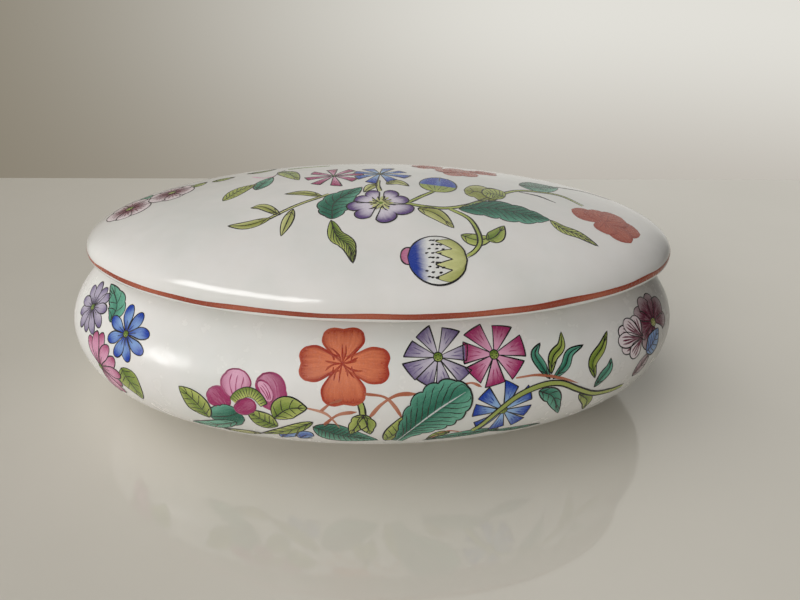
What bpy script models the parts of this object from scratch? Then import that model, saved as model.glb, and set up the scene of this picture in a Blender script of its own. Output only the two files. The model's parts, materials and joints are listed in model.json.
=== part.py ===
"""Oval glazed porcelain trinket box: a bulbous base and a loose domed lid that lifts off.

Metres, +Z up. The origin is on the table under the middle of the box, and +X runs along its length.
"""
import math

import bmesh
import bpy

# Plan of the box: the lid's rim is the driving oval
LID_LENGTH = 0.170
LID_WIDTH = 0.0954
OVAL_SEGMENTS = 64

# Heights above the table
BELLY_HEIGHT = 0.0267        # where the base is widest
SEAT_HEIGHT = 0.0481         # the flat ledge that carries the lid

# Base, outside
BELLY_BULGE = 0.0055         # how far the belly stands out past the lid's rim
SHOULDER_INSET = 0.0102      # how far the ledge's outer edge lies inside the lid's rim
LOWER_DRAW = 0.0365          # how far the underside would draw in before it reached the table
FOOT_HEIGHT = 0.0022
FOOT_WIDTH = 0.0040
FOOT_RECESS = 0.0016         # how far the bare underside lies above the table

# Base, inside
BASE_WALL = 0.0040
FLOOR_THICKNESS = 0.0042
SEAT_WIDTH = 0.0065
COLLAR_HEIGHT = 0.0040       # the upright collar that keeps the lid from sliding
COLLAR_THICKNESS = 0.0030

# Lid
LIP_HEIGHT = 0.0015          # the upright edge that carries the painted line
EDGE_ROUND = 0.0005
DOME_HEIGHT = 0.0181
DOME_SIDE_POWER = 1.5        # 2 for both powers is an ellipsoid, less is nearer a cone
DOME_RISE_POWER = 1.98
LID_WALL = 0.0045

# Fits
REST_GAP = 0.0003            # between the lid's rim and the ledge
COLLAR_CLEARANCE = 0.0032    # between the lid and the collar, all round when centred
COLLAR_HEADROOM = 0.0008     # between the collar's top and the lid's hollow

# How the loose lid lies within its clearance: each is a share of COLLAR_CLEARANCE
SHIFT_ALONG_SHARE = 0.42
SHIFT_ACROSS_SHARE = 0.32
TWIST_SHARE = -0.35

# Steps along the curved stretches of the section
CURVE_STEPS = 9
DOME_STEPS = 14
CROWN_SHARE = 0.96           # the dome is capped here, just short of its top

# Finish
GLAZE_COLOUR = (0.83, 0.82, 0.78, 1.0)
GLAZE_ROUGHNESS = 0.12

HALF_LENGTH = LID_LENGTH / 2
HALF_WIDTH = LID_WIDTH / 2
QUARTER_TURN = math.pi / 2


def clear_scene():
    for item in list(bpy.data.objects):
        bpy.data.objects.remove(item, do_unlink=True)


def glaze(name):
    material = bpy.data.materials.new(name)
    material.use_nodes = True
    shader = material.node_tree.nodes["Principled BSDF"]
    shader.inputs["Base Color"].default_value = GLAZE_COLOUR
    shader.inputs["Roughness"].default_value = GLAZE_ROUGHNESS
    shader.inputs["Metallic"].default_value = 0.0
    return material


def inset_ring(inset, height):
    """An oval ring that lies inset inside the lid's rim, or outside it where inset is negative."""
    return HALF_LENGTH - inset, HALF_WIDTH - inset, height


def between(start, end, drawn, risen):
    """The (inset, height) that lies drawn of the way across and risen of the way up from start to end."""
    return start[0] + (end[0] - start[0]) * drawn, start[1] + (end[1] - start[1]) * risen


def bowl_curve(start, end, last_angle=QUARTER_TURN):
    """(inset, height) along a quarter ellipse, upright at start and level at end."""
    points = []
    for step in range(CURVE_STEPS + 1):
        angle = last_angle * step / CURVE_STEPS
        points.append(between(start, end, 1 - math.cos(angle), math.sin(angle)))
    return points


def shoulder_curve(start, end):
    """(inset, height) along a parabola that leaves start upright and leans in towards end."""
    shares = [step / CURVE_STEPS for step in range(CURVE_STEPS + 1)]
    return [between(start, end, share ** 2, share) for share in shares]


def loft(name, rings):
    """One closed solid through oval rings: an end face, the rings extruded in turn, an end face."""
    shape = bmesh.new()
    bmesh.ops.create_circle(shape, cap_ends=True, segments=OVAL_SEGMENTS, radius=1.0)
    shape.verts.ensure_lookup_table()
    angles = {vert: math.atan2(vert.co.y, vert.co.x) for vert in shape.verts}
    edges = list(shape.edges)
    verts = list(shape.verts)
    for number, (half_length, half_width, height) in enumerate(rings):
        if number:
            grown = bmesh.ops.extrude_edge_only(shape, edges=edges)["geom"]
            edges = [part for part in grown if isinstance(part, bmesh.types.BMEdge)]
            older = set(verts)
            verts = [part for part in grown if isinstance(part, bmesh.types.BMVert)]
            for vert in verts:
                below = next(edge.other_vert(vert) for edge in vert.link_edges
                             if edge.other_vert(vert) in older)
                angles[vert] = angles[below]
        for vert in verts:
            angle = angles[vert]
            vert.co = (half_length * math.cos(angle), half_width * math.sin(angle), height)
    bmesh.ops.edgeloop_fill(shape, edges=edges)
    bmesh.ops.recalc_face_normals(shape, faces=shape.faces)
    mesh = bpy.data.meshes.new(name)
    shape.to_mesh(mesh)
    shape.free()
    mesh.shade_smooth()
    mesh.set_sharp_from_angle(angle=math.radians(40))
    return mesh


def foot_angle():
    """How far round its quarter the underside's curve runs before it meets the foot ring."""
    return math.asin(1 - FOOT_HEIGHT / BELLY_HEIGHT)


def base_mesh():
    belly = (-BELLY_BULGE, BELLY_HEIGHT)
    shoulder = (SHOULDER_INSET, SEAT_HEIGHT)
    collar_outside = SHOULDER_INSET + SEAT_WIDTH
    collar_inside = collar_outside + COLLAR_THICKNESS
    floor_height = FOOT_RECESS + FLOOR_THICKNESS
    inner_belly = (belly[0] + BASE_WALL, BELLY_HEIGHT)

    under = bowl_curve(belly, (belly[0] + LOWER_DRAW, 0.0), foot_angle())
    foot_outside = under[-1][0]
    foot_inside = foot_outside + FOOT_WIDTH

    section = [(foot_inside, FOOT_RECESS), (foot_inside, 0.0), (foot_outside, 0.0)]
    section += reversed(under)
    section += shoulder_curve(belly, shoulder)[1:]
    section += [(collar_outside, SEAT_HEIGHT)]
    section += [(collar_outside, SEAT_HEIGHT + COLLAR_HEIGHT)]
    section += [(collar_inside, SEAT_HEIGHT + COLLAR_HEIGHT)]
    section += reversed(shoulder_curve(inner_belly, (collar_inside, SEAT_HEIGHT)))
    section += bowl_curve(inner_belly, (inner_belly[0] + LOWER_DRAW, floor_height))[1:]
    return loft("box_base", [inset_ring(inset, height) for inset, height in section])


def dome_rings(half_length, half_width, foot, rise):
    """Rings of a low dome that starts upright at foot and rises by rise."""
    rings = []
    for step in range(DOME_STEPS):
        angle = QUARTER_TURN * CROWN_SHARE * step / (DOME_STEPS - 1)
        share = math.cos(angle) ** (2 / DOME_SIDE_POWER)
        risen = math.sin(angle) ** (2 / DOME_RISE_POWER)
        rings.append((half_length * share, half_width * share, foot + rise * risen))
    return rings


def lid_mesh():
    """The lid in its own frame, with its rim's flat underside at height 0."""
    rim_inside = SHOULDER_INSET + SEAT_WIDTH - COLLAR_CLEARANCE
    hollow_start = COLLAR_HEIGHT + COLLAR_HEADROOM
    hollow_rise = LIP_HEIGHT + DOME_HEIGHT - LID_WALL - hollow_start
    inner = dome_rings(HALF_LENGTH - rim_inside, HALF_WIDTH - rim_inside, hollow_start, hollow_rise)
    rings = list(reversed(inner))
    rings.append(inset_ring(rim_inside, 0.0))
    rings.append(inset_ring(EDGE_ROUND, 0.0))
    rings.append(inset_ring(0.0, EDGE_ROUND))
    rings += dome_rings(HALF_LENGTH, HALF_WIDTH, LIP_HEIGHT, DOME_HEIGHT)
    return loft("lid", rings)


def lid_rest():
    """Where the loose lid lies on the ledge, and its turn: a little off centre and askew."""
    along = SHIFT_ALONG_SHARE * COLLAR_CLEARANCE
    across = SHIFT_ACROSS_SHARE * COLLAR_CLEARANCE
    twist = TWIST_SHARE * COLLAR_CLEARANCE / (HALF_LENGTH - HALF_WIDTH)
    return (along, across, SEAT_HEIGHT + REST_GAP), twist


def place(mesh, material, collection, parent, location, turn):
    piece = bpy.data.objects.new(mesh.name, mesh)
    mesh.materials.append(material)
    collection.objects.link(piece)
    piece.parent = parent
    piece.location = location
    piece.rotation_euler = (0.0, 0.0, turn)


def build():
    clear_scene()
    collection = bpy.data.collections.new("trinket_box")
    bpy.context.scene.collection.children.link(collection)
    stand = bpy.data.objects.new("trinket_box_origin", None)
    collection.objects.link(stand)
    lid_place, lid_turn = lid_rest()
    place(base_mesh(), glaze("base_glaze"), collection, stand, (0.0, 0.0, 0.0), 0.0)
    place(lid_mesh(), glaze("lid_glaze"), collection, stand, lid_place, lid_turn)


build()
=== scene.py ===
"""Dresses the oval porcelain trinket box: glazed shells, coral rim line, enamel sprays, stage and camera.

Laid out as an add-on: property groups hold the sizes, view and colours, and each operator makes a few pieces.
"""
import json
import math

import bpy
import numpy as np
from mathutils import Matrix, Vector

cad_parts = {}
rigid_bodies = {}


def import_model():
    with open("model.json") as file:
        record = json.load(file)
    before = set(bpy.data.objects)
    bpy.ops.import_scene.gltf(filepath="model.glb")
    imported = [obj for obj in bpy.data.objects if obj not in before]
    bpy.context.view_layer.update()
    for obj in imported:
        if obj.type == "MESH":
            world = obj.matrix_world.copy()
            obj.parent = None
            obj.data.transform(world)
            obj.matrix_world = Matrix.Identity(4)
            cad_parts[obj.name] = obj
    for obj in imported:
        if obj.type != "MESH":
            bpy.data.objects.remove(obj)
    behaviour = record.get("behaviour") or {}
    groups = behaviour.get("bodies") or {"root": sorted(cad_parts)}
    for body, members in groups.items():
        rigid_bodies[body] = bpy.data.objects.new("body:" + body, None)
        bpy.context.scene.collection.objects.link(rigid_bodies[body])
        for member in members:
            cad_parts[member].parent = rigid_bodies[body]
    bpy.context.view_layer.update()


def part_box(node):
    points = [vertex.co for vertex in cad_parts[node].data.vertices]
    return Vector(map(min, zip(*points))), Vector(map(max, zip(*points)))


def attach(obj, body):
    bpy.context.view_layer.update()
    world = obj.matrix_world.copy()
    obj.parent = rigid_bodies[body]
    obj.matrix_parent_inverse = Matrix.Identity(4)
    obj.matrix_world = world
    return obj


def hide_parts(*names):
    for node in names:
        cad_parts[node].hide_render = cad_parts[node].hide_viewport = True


bl_info = {
    "name": "Oval Porcelain Trinket Box",
    "version": (1, 0, 0),
    "blender": (4, 5, 0),
    "location": "View3D > Sidebar > Trinket Box",
    "description": "Builds the glazed shells and flower sprays of an oval trinket box around its solids",
    "category": "Object",
}

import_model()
LID_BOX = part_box("lid")

MM = 0.001
IMAGE_WIDTH = 800
IMAGE_HEIGHT = 600
UP = np.array((0.0, 0.0, 1.0))
TINY = 1e-12


# Properties

def length(label, description, default):
    return bpy.props.FloatProperty(name=label, description=description, default=default, unit="LENGTH",
                                   precision=5)


def turn(label, description, degrees):
    return bpy.props.FloatProperty(name=label, description=description, default=math.radians(degrees),
                                   unit="ROTATION")


def number(label, description, default):
    return bpy.props.FloatProperty(name=label, description=description, default=default, precision=3)


def linear(level):
    """A colour level from 0 to 255 as the eye sees it, as an amount of light."""
    share = level / 255
    return share / 12.92 if share <= 0.04045 else ((share + 0.055) / 1.055) ** 2.4


def colour(label, description, red, green, blue):
    return bpy.props.FloatVectorProperty(name=label, description=description, subtype="COLOR", size=3,
                                         default=(linear(red), linear(green), linear(blue)), min=0.0, max=1.0)


class BoxSizes(bpy.types.PropertyGroup):
    """Sizes of the two porcelain pieces."""
    lid_length: length("Lid length", "Length of the lid over its rim", 0.170)
    lid_width: length("Lid width", "Width of the lid over its rim", 0.0954)
    lid_turn: turn("Lid turn", "How far the loose lid is turned on the base", -1.72)
    belly_height: length("Belly height", "Height at which the base is widest", 0.0267)
    seat_height: length("Seat height", "Height of the ledge that carries the lid", 0.0481)
    belly_bulge: length("Belly bulge", "How far the belly stands out past the lid's rim", 0.0055)
    shoulder_inset: length("Shoulder inset", "How far the ledge's edge lies inside the lid's rim", 0.0102)
    lower_draw: length("Lower draw", "How far the underside draws in towards the table", 0.0365)
    foot_height: length("Foot height", "Height of the foot ring", 0.0022)
    foot_width: length("Foot width", "Width of the foot ring", 0.0040)
    foot_recess: length("Foot recess", "How far the underside lies above the table", 0.0016)
    base_wall: length("Base wall", "Thickness of the base at the belly", 0.0040)
    floor_thickness: length("Floor thickness", "Thickness of the base's floor", 0.0042)
    seat_width: length("Seat width", "Width of the ledge", 0.0065)
    collar_height: length("Collar height", "Height of the collar above the ledge", 0.0040)
    collar_thickness: length("Collar thickness", "Thickness of the collar", 0.0030)
    collar_clearance: length("Collar clearance", "Play between the lid and the collar", 0.0032)
    collar_headroom: length("Collar headroom", "Room between the collar's top and the lid", 0.0008)
    lip_height: length("Lip height", "Height of the lid's upright lip", 0.0015)
    dome_height: length("Dome height", "Rise of the lid above its lip", 0.0181)
    dome_side_power: number("Dome side power", "Fullness of the dome towards its rim", 1.5)
    dome_rise_power: number("Dome rise power", "Fullness of the dome towards its crown", 1.98)
    crown_round: number("Crown rounding", "Share of the dome that its crown is rounded over", 0.07)
    lid_wall: length("Lid wall", "Thickness of the lid at its crown", 0.0045)
    edge_round: length("Edge rounding", "Radius of the glazed edges", 0.0007)
    relief: length("Relief", "Room kept inside the solids for the raised enamel", 0.00022)
    line_low: length("Rim line, lower edge", "Height of the painted line above the lid's rim", 0.0009)
    line_width: length("Rim line, width", "Width of the painted line", 0.0013)


class PhotoView(bpy.types.PropertyGroup):
    """Where the box is seen from."""
    field: turn("Field of view", "Horizontal field of view", 60.0)
    pitch: turn("Pitch", "How far the camera looks down", 29.07)
    heading: turn("Heading", "How far the view is turned about the upright axis", -0.80)
    roll: turn("Roll", "Tilt of the picture", 0.40)
    distance: length("Distance", "From the aim to the camera", 0.2159)
    aim_x: length("Aim X", "Point that the camera looks at", 0.00793)
    aim_y: length("Aim Y", "Point that the camera looks at", 0.00089)
    aim_z: length("Aim Z", "Point that the camera looks at", 0.02843)


class Glazes(bpy.types.PropertyGroup):
    """Colours of the porcelain, the pigments and the stage. A pigment has a deep and a thinned colour."""
    glaze: colour("Glaze", "Clear glaze over white porcelain", 235, 233, 230)
    glaze_thick: colour("Glaze, thick", "Where the glaze has pooled", 225, 226, 222)
    biscuit: colour("Biscuit", "Bare unglazed porcelain", 212, 199, 178)
    speck: colour("Speck", "Iron specks in the glaze", 120, 104, 82)
    white_deep: colour("White, deep", "White enamel laid thick", 196, 202, 202)
    white_thin: colour("White, thin", "White enamel washed out", 228, 227, 222)
    rose_deep: colour("Rose, deep", "Rose enamel laid thick", 158, 40, 96)
    rose_thin: colour("Rose, thin", "Rose enamel washed out", 224, 164, 192)
    mauve_deep: colour("Mauve, deep", "Faded mauve enamel laid thick", 104, 32, 58)
    mauve_thin: colour("Mauve, thin", "Faded mauve enamel washed out", 236, 222, 224)
    violet_deep: colour("Violet, deep", "Violet enamel laid thick", 96, 78, 126)
    violet_thin: colour("Violet, thin", "Violet enamel washed out", 202, 194, 208)
    plum_deep: colour("Plum, deep", "Plum enamel laid thick", 88, 58, 122)
    plum_thin: colour("Plum, thin", "Plum enamel washed out", 222, 214, 226)
    blue_deep: colour("Blue, deep", "Blue enamel laid thick", 12, 58, 164)
    blue_thin: colour("Blue, thin", "Blue enamel washed out", 160, 196, 234)
    coral_deep: colour("Coral, deep", "Coral enamel laid thick", 164, 50, 30)
    coral_thin: colour("Coral, thin", "Coral enamel washed out", 236, 142, 100)
    iron_deep: colour("Iron red, deep", "Iron red of the lid's flowers laid thick", 146, 52, 38)
    iron_thin: colour("Iron red, thin", "Iron red washed out", 206, 116, 90)
    line_deep: colour("Rim line, deep", "The lid's rim line where the brush was full", 146, 60, 40)
    line_thin: colour("Rim line, thin", "The lid's rim line where the brush ran dry", 206, 122, 92)
    indigo_deep: colour("Indigo, deep", "The round bud's blue laid thick", 20, 54, 150)
    indigo_thin: colour("Indigo, thin", "The round bud's blue run out to white", 232, 232, 228)
    teal_deep: colour("Teal, deep", "Teal leaf enamel laid thick", 10, 96, 74)
    teal_thin: colour("Teal, thin", "Teal leaf enamel washed out", 116, 184, 158)
    olive_deep: colour("Olive, deep", "Olive leaf enamel laid thick", 94, 122, 30)
    olive_thin: colour("Olive, thin", "Olive leaf enamel washed out", 190, 198, 110)
    yellow_deep: colour("Yellow, deep", "Yellow-green enamel laid thick", 136, 142, 52)
    yellow_thin: colour("Yellow, thin", "Yellow-green enamel washed out", 212, 212, 150)
    ink_deep: colour("Ink, deep", "Fine dark brush line, full", 22, 19, 20)
    ink_thin: colour("Ink, thin", "Fine dark brush line, dry", 70, 62, 58)
    sepia_deep: colour("Sepia, deep", "Brown tendril line, full", 170, 96, 68)
    sepia_thin: colour("Sepia, thin", "Brown tendril line, dry", 218, 168, 142)
    table: colour("Table", "Pale table top", 221, 216, 205)
    wall: colour("Wall", "Pale wall behind the table", 225, 223, 216)
    # Painted shade: the wall is darker low down, where it meets the table.
    wall_low: colour("Wall, low", "The wall near the table", 186, 180, 171)
    wall_shade: colour("Wall, shaded", "The wall's shaded end", 132, 124, 108)


def sizes():
    return bpy.context.scene.trinket_sizes


def view():
    return bpy.context.scene.trinket_view


def glazes():
    return bpy.context.scene.trinket_glazes


def paint_colour(name):
    return (*getattr(glazes(), name), 1.0)


def unit(vectors):
    return vectors / np.maximum(np.linalg.norm(vectors, axis=-1, keepdims=True), TINY)


def smooth(share):
    """Eases a share from 0 to 1."""
    held = np.clip(share, 0.0, 1.0)
    return held * held * (3 - 2 * held)


# Forms of the two shells

FOOT_MARGIN = 0.2 * MM       # how far the paint stays above the foot ring
SHOULDER_OVERRUN = 1.2       # how far up to the ledge the shoulder's curve is followed, as a share
UNDERSIDE_END = 0.999        # how far down to the table the underside's curve is followed, as a share
DOME_LEVEL_SCALE = 0.5       # makes the dome's level about a distance


class BaseForm:
    """The base's outside: an oval whose rings draw in below and above the belly."""
    name = "base"
    centre = np.zeros(3)
    turn = 0.0

    def __init__(self):
        size = sizes()
        self.half_length = size.lid_length / 2 + size.belly_bulge - size.relief
        self.half_width = size.lid_width / 2 + size.belly_bulge - size.relief
        self.belly = size.belly_height
        self.seat = size.seat_height
        self.lowest = size.foot_height + FOOT_MARGIN
        self.lower_draw = size.lower_draw
        self.upper_draw = size.belly_bulge + size.shoulder_inset

    def draw(self, height):
        """How far a ring at this height lies inside the belly's ring."""
        above = np.clip((height - self.belly) / (self.seat - self.belly), 0.0, SHOULDER_OVERRUN)
        below = np.clip((self.belly - height) / self.belly, 0.0, UNDERSIDE_END)
        return self.upper_draw * above ** 2 + self.lower_draw * (1 - np.sqrt(1 - below ** 2))

    def level(self, points):
        """Below 0 inside the form, and about the distance to it outside."""
        drawn = self.draw(points[..., 2])
        half_width = self.half_width - drawn
        along = points[..., 0] / (self.half_length - drawn)
        across = points[..., 1] / half_width
        return (np.sqrt(along ** 2 + across ** 2) - 1) * half_width

    def right(self, normal):
        return unit(np.cross(UP, normal))


class LidForm:
    """The lid's outside: a low dome over an oval, in the lid's own frame."""
    name = "lid"

    def __init__(self):
        size = sizes()
        middle = [(low + high) / 2 for low, high in zip(LID_BOX[0], LID_BOX[1])]
        self.centre = np.array((middle[0], middle[1], LID_BOX[0][2]))
        self.turn = size.lid_turn
        self.half_length = size.lid_length / 2 - size.relief
        self.half_width = size.lid_width / 2 - size.relief
        self.lip = size.lip_height
        self.lowest = 0.0
        self.rise = size.dome_height - size.relief
        self.side_power = size.dome_side_power
        self.rise_power = size.dome_rise_power
        self.crown = size.crown_round

    def softened(self, reach):
        """The share of the way out to the rim, rounded off over the crown."""
        return np.sqrt((reach ** 2 + self.crown ** 2) / (1 + self.crown ** 2))

    def level(self, points):
        """Below 0 inside the form, and about the distance to it outside."""
        reach = np.sqrt((points[..., 0] / self.half_length) ** 2 + (points[..., 1] / self.half_width) ** 2)
        up = np.maximum(points[..., 2] - self.lip, 0.0) / self.rise
        outside = self.softened(reach) ** self.side_power + up ** self.rise_power - 1
        return outside * self.rise * DOME_LEVEL_SCALE

    def height(self, reach):
        """Height of the dome at a share of the way out to the rim."""
        left = np.maximum(1 - self.softened(reach) ** self.side_power, 0.0)
        return self.lip + self.rise * left ** (1 / self.rise_power)

    def reach(self, height):
        """The share of the way out to the rim at which the dome has this height."""
        up = np.clip((height - self.lip) / self.rise, 0.0, 1.0)
        soft = (1 - up ** self.rise_power) ** (1 / self.side_power)
        return np.sqrt(np.maximum(soft ** 2 * (1 + self.crown ** 2) - self.crown ** 2, 0.0))

    def right(self, normal):
        along = np.array((1.0, 0.0, 0.0))
        return unit(along - normal * normal[0])


class PhotoCamera:
    """The camera's place and axes, which turn a pixel of the photograph into a ray."""

    def __init__(self):
        seen = view()
        heading = np.array(Matrix.Rotation(seen.heading, 3, "Z"))
        self.forward = heading @ np.array((0.0, math.cos(seen.pitch), -math.sin(seen.pitch)))
        level_right = heading @ np.array((1.0, 0.0, 0.0))
        level_up = np.cross(level_right, self.forward)
        self.right = math.cos(seen.roll) * level_right + math.sin(seen.roll) * level_up
        self.up = math.cos(seen.roll) * level_up - math.sin(seen.roll) * level_right
        self.place = np.array((seen.aim_x, seen.aim_y, seen.aim_z)) - self.forward * seen.distance
        self.reach = seen.distance
        self.focal = IMAGE_WIDTH / 2 / math.tan(seen.field / 2)

    def rays(self, pixels):
        across = pixels[:, :1] - IMAGE_WIDTH / 2
        down = pixels[:, 1:] - IMAGE_HEIGHT / 2
        return unit(self.forward * self.focal + self.right * across - self.up * down)


# Materials

def add_node(tree, kind, values=None, **settings):
    node = tree.nodes.new(kind)
    for name, value in settings.items():
        setattr(node, name, value)
    for socket, value in (values or {}).items():
        node.inputs[socket].default_value = value
    return node


def feed(tree, socket, given):
    """Links a socket into a node's input, or sets the input to a value."""
    if isinstance(given, bpy.types.NodeSocket):
        tree.links.new(given, socket)
    else:
        socket.default_value = given


# Places of the colour sockets on a Mix node
MIX_SHARE = 0
MIX_FIRST = 6
MIX_SECOND = 7
MIX_RESULT = 2


def mix_colours(tree, share, first, second):
    """A Mix node for colours: each of share, first and second is a socket, or a value."""
    node = add_node(tree, "ShaderNodeMix", data_type="RGBA")
    for place, given in ((MIX_SHARE, share), (MIX_FIRST, first), (MIX_SECOND, second)):
        feed(tree, node.inputs[place], given)
    return node.outputs[MIX_RESULT]


def spread(tree, value, low, high, to_low=0.0, to_high=1.0):
    """A Map Range node that eases a value from one range into another."""
    ranges = {"From Min": low, "From Max": high, "To Min": to_low, "To Max": to_high}
    node = add_node(tree, "ShaderNodeMapRange", ranges, interpolation_type="SMOOTHSTEP")
    tree.links.new(value, node.inputs["Value"])
    return node.outputs["Result"]


def sums(tree, operation, first, second):
    """A Math node: each of first and second is a socket, or a value."""
    node = add_node(tree, "ShaderNodeMath", operation=operation)
    for socket, given in zip(node.inputs, (first, second)):
        feed(tree, socket, given)
    return node.outputs[0]


def noise(tree, vector, scale, detail, roughness):
    node = add_node(tree, "ShaderNodeTexNoise", {"Scale": scale, "Detail": detail, "Roughness": roughness})
    tree.links.new(vector, node.inputs["Vector"])
    return node.outputs["Fac"]


def new_group(name, inputs, outputs):
    """A shader node group with named sockets, and its input and output nodes."""
    group = bpy.data.node_groups.new(name, "ShaderNodeTree")
    for label, kind in inputs:
        group.interface.new_socket(label, in_out="INPUT", socket_type=kind)
    for label, kind in outputs:
        group.interface.new_socket(label, in_out="OUTPUT", socket_type=kind)
    return group, group.nodes.new("NodeGroupInput"), group.nodes.new("NodeGroupOutput")


# Noise in the glaze: the scales are cells for each metre
POOL_SCALE = 38.0
RIPPLE_SCALE = 70.0
CLOUD_SCALE = 210.0
SPECK_SCALE = 230.0
GRAIN_SCALE = 2600.0
CLOUD_SHARE = 0.16           # how much biscuit colour shows through the clouds
SPECK_SHARE = 0.75           # how strong the specks are
GRAIN_SHARE = 0.35           # how pale the grains of bare biscuit are
BARE_ROUGHNESS = 0.55        # how much rougher bare biscuit is
RIPPLE_DEPTH = 0.8
GRAIN_DEPTH = 0.08


def glaze_group():
    """Fired glaze: pooled tint, iron specks, bare biscuit where the mask says, and a faint ripple."""
    name = "fired_glaze"
    if name in bpy.data.node_groups:
        return bpy.data.node_groups[name]
    group, given, result = new_group(
        name,
        [("Place", "NodeSocketVector"), ("Glaze", "NodeSocketColor"), ("Thick", "NodeSocketColor"),
         ("Biscuit", "NodeSocketColor"), ("Speck", "NodeSocketColor"), ("Bare", "NodeSocketFloat"),
         ("Dulling", "NodeSocketFloat")],
        [("Colour", "NodeSocketColor"), ("Roughness", "NodeSocketFloat"), ("Height", "NodeSocketFloat")])
    place = given.outputs["Place"]
    pooled = spread(group, noise(group, place, POOL_SCALE, detail=3.0, roughness=0.55), low=0.38, high=0.72)
    clouded = noise(group, place, CLOUD_SCALE, detail=3.0, roughness=0.6)
    grained = noise(group, place, GRAIN_SCALE, detail=2.0, roughness=0.6)
    cells = add_node(group, "ShaderNodeTexVoronoi", {"Scale": SPECK_SCALE, "Randomness": 1.0})
    group.links.new(place, cells.inputs["Vector"])
    near = spread(group, cells.outputs["Distance"], low=0.045, high=0.075, to_low=1.0, to_high=0.0)
    parts = add_node(group, "ShaderNodeSeparateColor")
    group.links.new(cells.outputs["Color"], parts.inputs["Color"])
    chosen = spread(group, parts.outputs["Red"], low=0.955, high=0.975)
    specked = sums(group, "MULTIPLY", near, chosen)
    soft = mix_colours(group, pooled, given.outputs["Glaze"], given.outputs["Thick"])
    cloud_share = sums(group, "MULTIPLY", clouded, CLOUD_SHARE)
    cloudy = mix_colours(group, cloud_share, soft, given.outputs["Biscuit"])
    speck_share = sums(group, "MULTIPLY", specked, SPECK_SHARE)
    spotted = mix_colours(group, speck_share, cloudy, given.outputs["Speck"])
    grain_share = sums(group, "MULTIPLY", grained, GRAIN_SHARE)
    grainy = mix_colours(group, grain_share, given.outputs["Biscuit"], given.outputs["Glaze"])
    bare = given.outputs["Bare"]
    group.links.new(mix_colours(group, bare, spotted, grainy), result.inputs["Colour"])
    gloss = spread(group, clouded, low=0.25, high=0.75, to_low=0.10, to_high=0.19)
    matt = sums(group, "ADD", sums(group, "MULTIPLY", bare, BARE_ROUGHNESS), given.outputs["Dulling"])
    group.links.new(sums(group, "ADD", gloss, matt), result.inputs["Roughness"])
    waves = noise(group, place, RIPPLE_SCALE, detail=2.0, roughness=0.45)
    ripple = sums(group, "MULTIPLY", waves, RIPPLE_DEPTH)
    rough = sums(group, "MULTIPLY", sums(group, "MULTIPLY", grained, bare), GRAIN_DEPTH)
    group.links.new(sums(group, "ADD", ripple, rough), result.inputs["Height"])
    return group


MIDDLE_NOISE = 0.5
ENAMEL_GRAIN_SCALE = 1500.0
ENAMEL_GRAIN = 0.35          # how much the grains change the wash
STREAK_DEPTH = 0.6
ENAMEL_GRAIN_DEPTH = 0.4


def enamel_group():
    """Brushed enamel: a wash from thin to deep with streaks along the stroke and pooled grains."""
    name = "brushed_enamel"
    if name in bpy.data.node_groups:
        return bpy.data.node_groups[name]
    group, given, result = new_group(
        name,
        [("Stroke", "NodeSocketVector"), ("Place", "NodeSocketVector"), ("Wash", "NodeSocketFloat"),
         ("Deep", "NodeSocketColor"), ("Thin", "NodeSocketColor"), ("Streaks", "NodeSocketFloat")],
        [("Colour", "NodeSocketColor"), ("Roughness", "NodeSocketFloat"), ("Height", "NodeSocketFloat")])
    streak = noise(group, given.outputs["Stroke"], scale=1.0, detail=3.0, roughness=0.6)
    grain = noise(group, given.outputs["Place"], ENAMEL_GRAIN_SCALE, detail=2.0, roughness=0.6)
    streak_change = sums(group, "SUBTRACT", streak, MIDDLE_NOISE)
    streaked = sums(group, "MULTIPLY", streak_change, given.outputs["Streaks"])
    grained = sums(group, "MULTIPLY", sums(group, "SUBTRACT", grain, MIDDLE_NOISE), ENAMEL_GRAIN)
    uneven = sums(group, "ADD", streaked, grained)
    depth = spread(group, sums(group, "ADD", given.outputs["Wash"], uneven), low=0.0, high=1.0)
    colour = mix_colours(group, depth, given.outputs["Thin"], given.outputs["Deep"])
    group.links.new(colour, result.inputs["Colour"])
    roughness = spread(group, grain, low=0.2, high=0.8, to_low=0.16, to_high=0.32)
    group.links.new(roughness, result.inputs["Roughness"])
    height = sums(group, "ADD", sums(group, "MULTIPLY", streak, STREAK_DEPTH),
                  sums(group, "MULTIPLY", grain, ENAMEL_GRAIN_DEPTH))
    group.links.new(height, result.inputs["Height"])
    return group


def start_material(name, group):
    """A material with its shader, the group, and a bump from the group's height, all linked."""
    material = bpy.data.materials.new(name)
    material.use_nodes = True
    tree = material.node_tree
    shader = tree.nodes["Principled BSDF"]
    effect = add_node(tree, "ShaderNodeGroup", node_tree=group)
    bump = add_node(tree, "ShaderNodeBump")
    tree.links.new(effect.outputs["Colour"], shader.inputs["Base Color"])
    tree.links.new(effect.outputs["Roughness"], shader.inputs["Roughness"])
    tree.links.new(effect.outputs["Height"], bump.inputs["Height"])
    tree.links.new(bump.outputs["Normal"], shader.inputs["Normal"])
    place = add_node(tree, "ShaderNodeTexCoord")
    tree.links.new(place.outputs["Object"], effect.inputs["Place"])
    return material, effect, shader, bump


def read_attribute(tree, name, output, socket):
    node = add_node(tree, "ShaderNodeAttribute", attribute_name=name)
    tree.links.new(node.outputs[output], socket)


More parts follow.
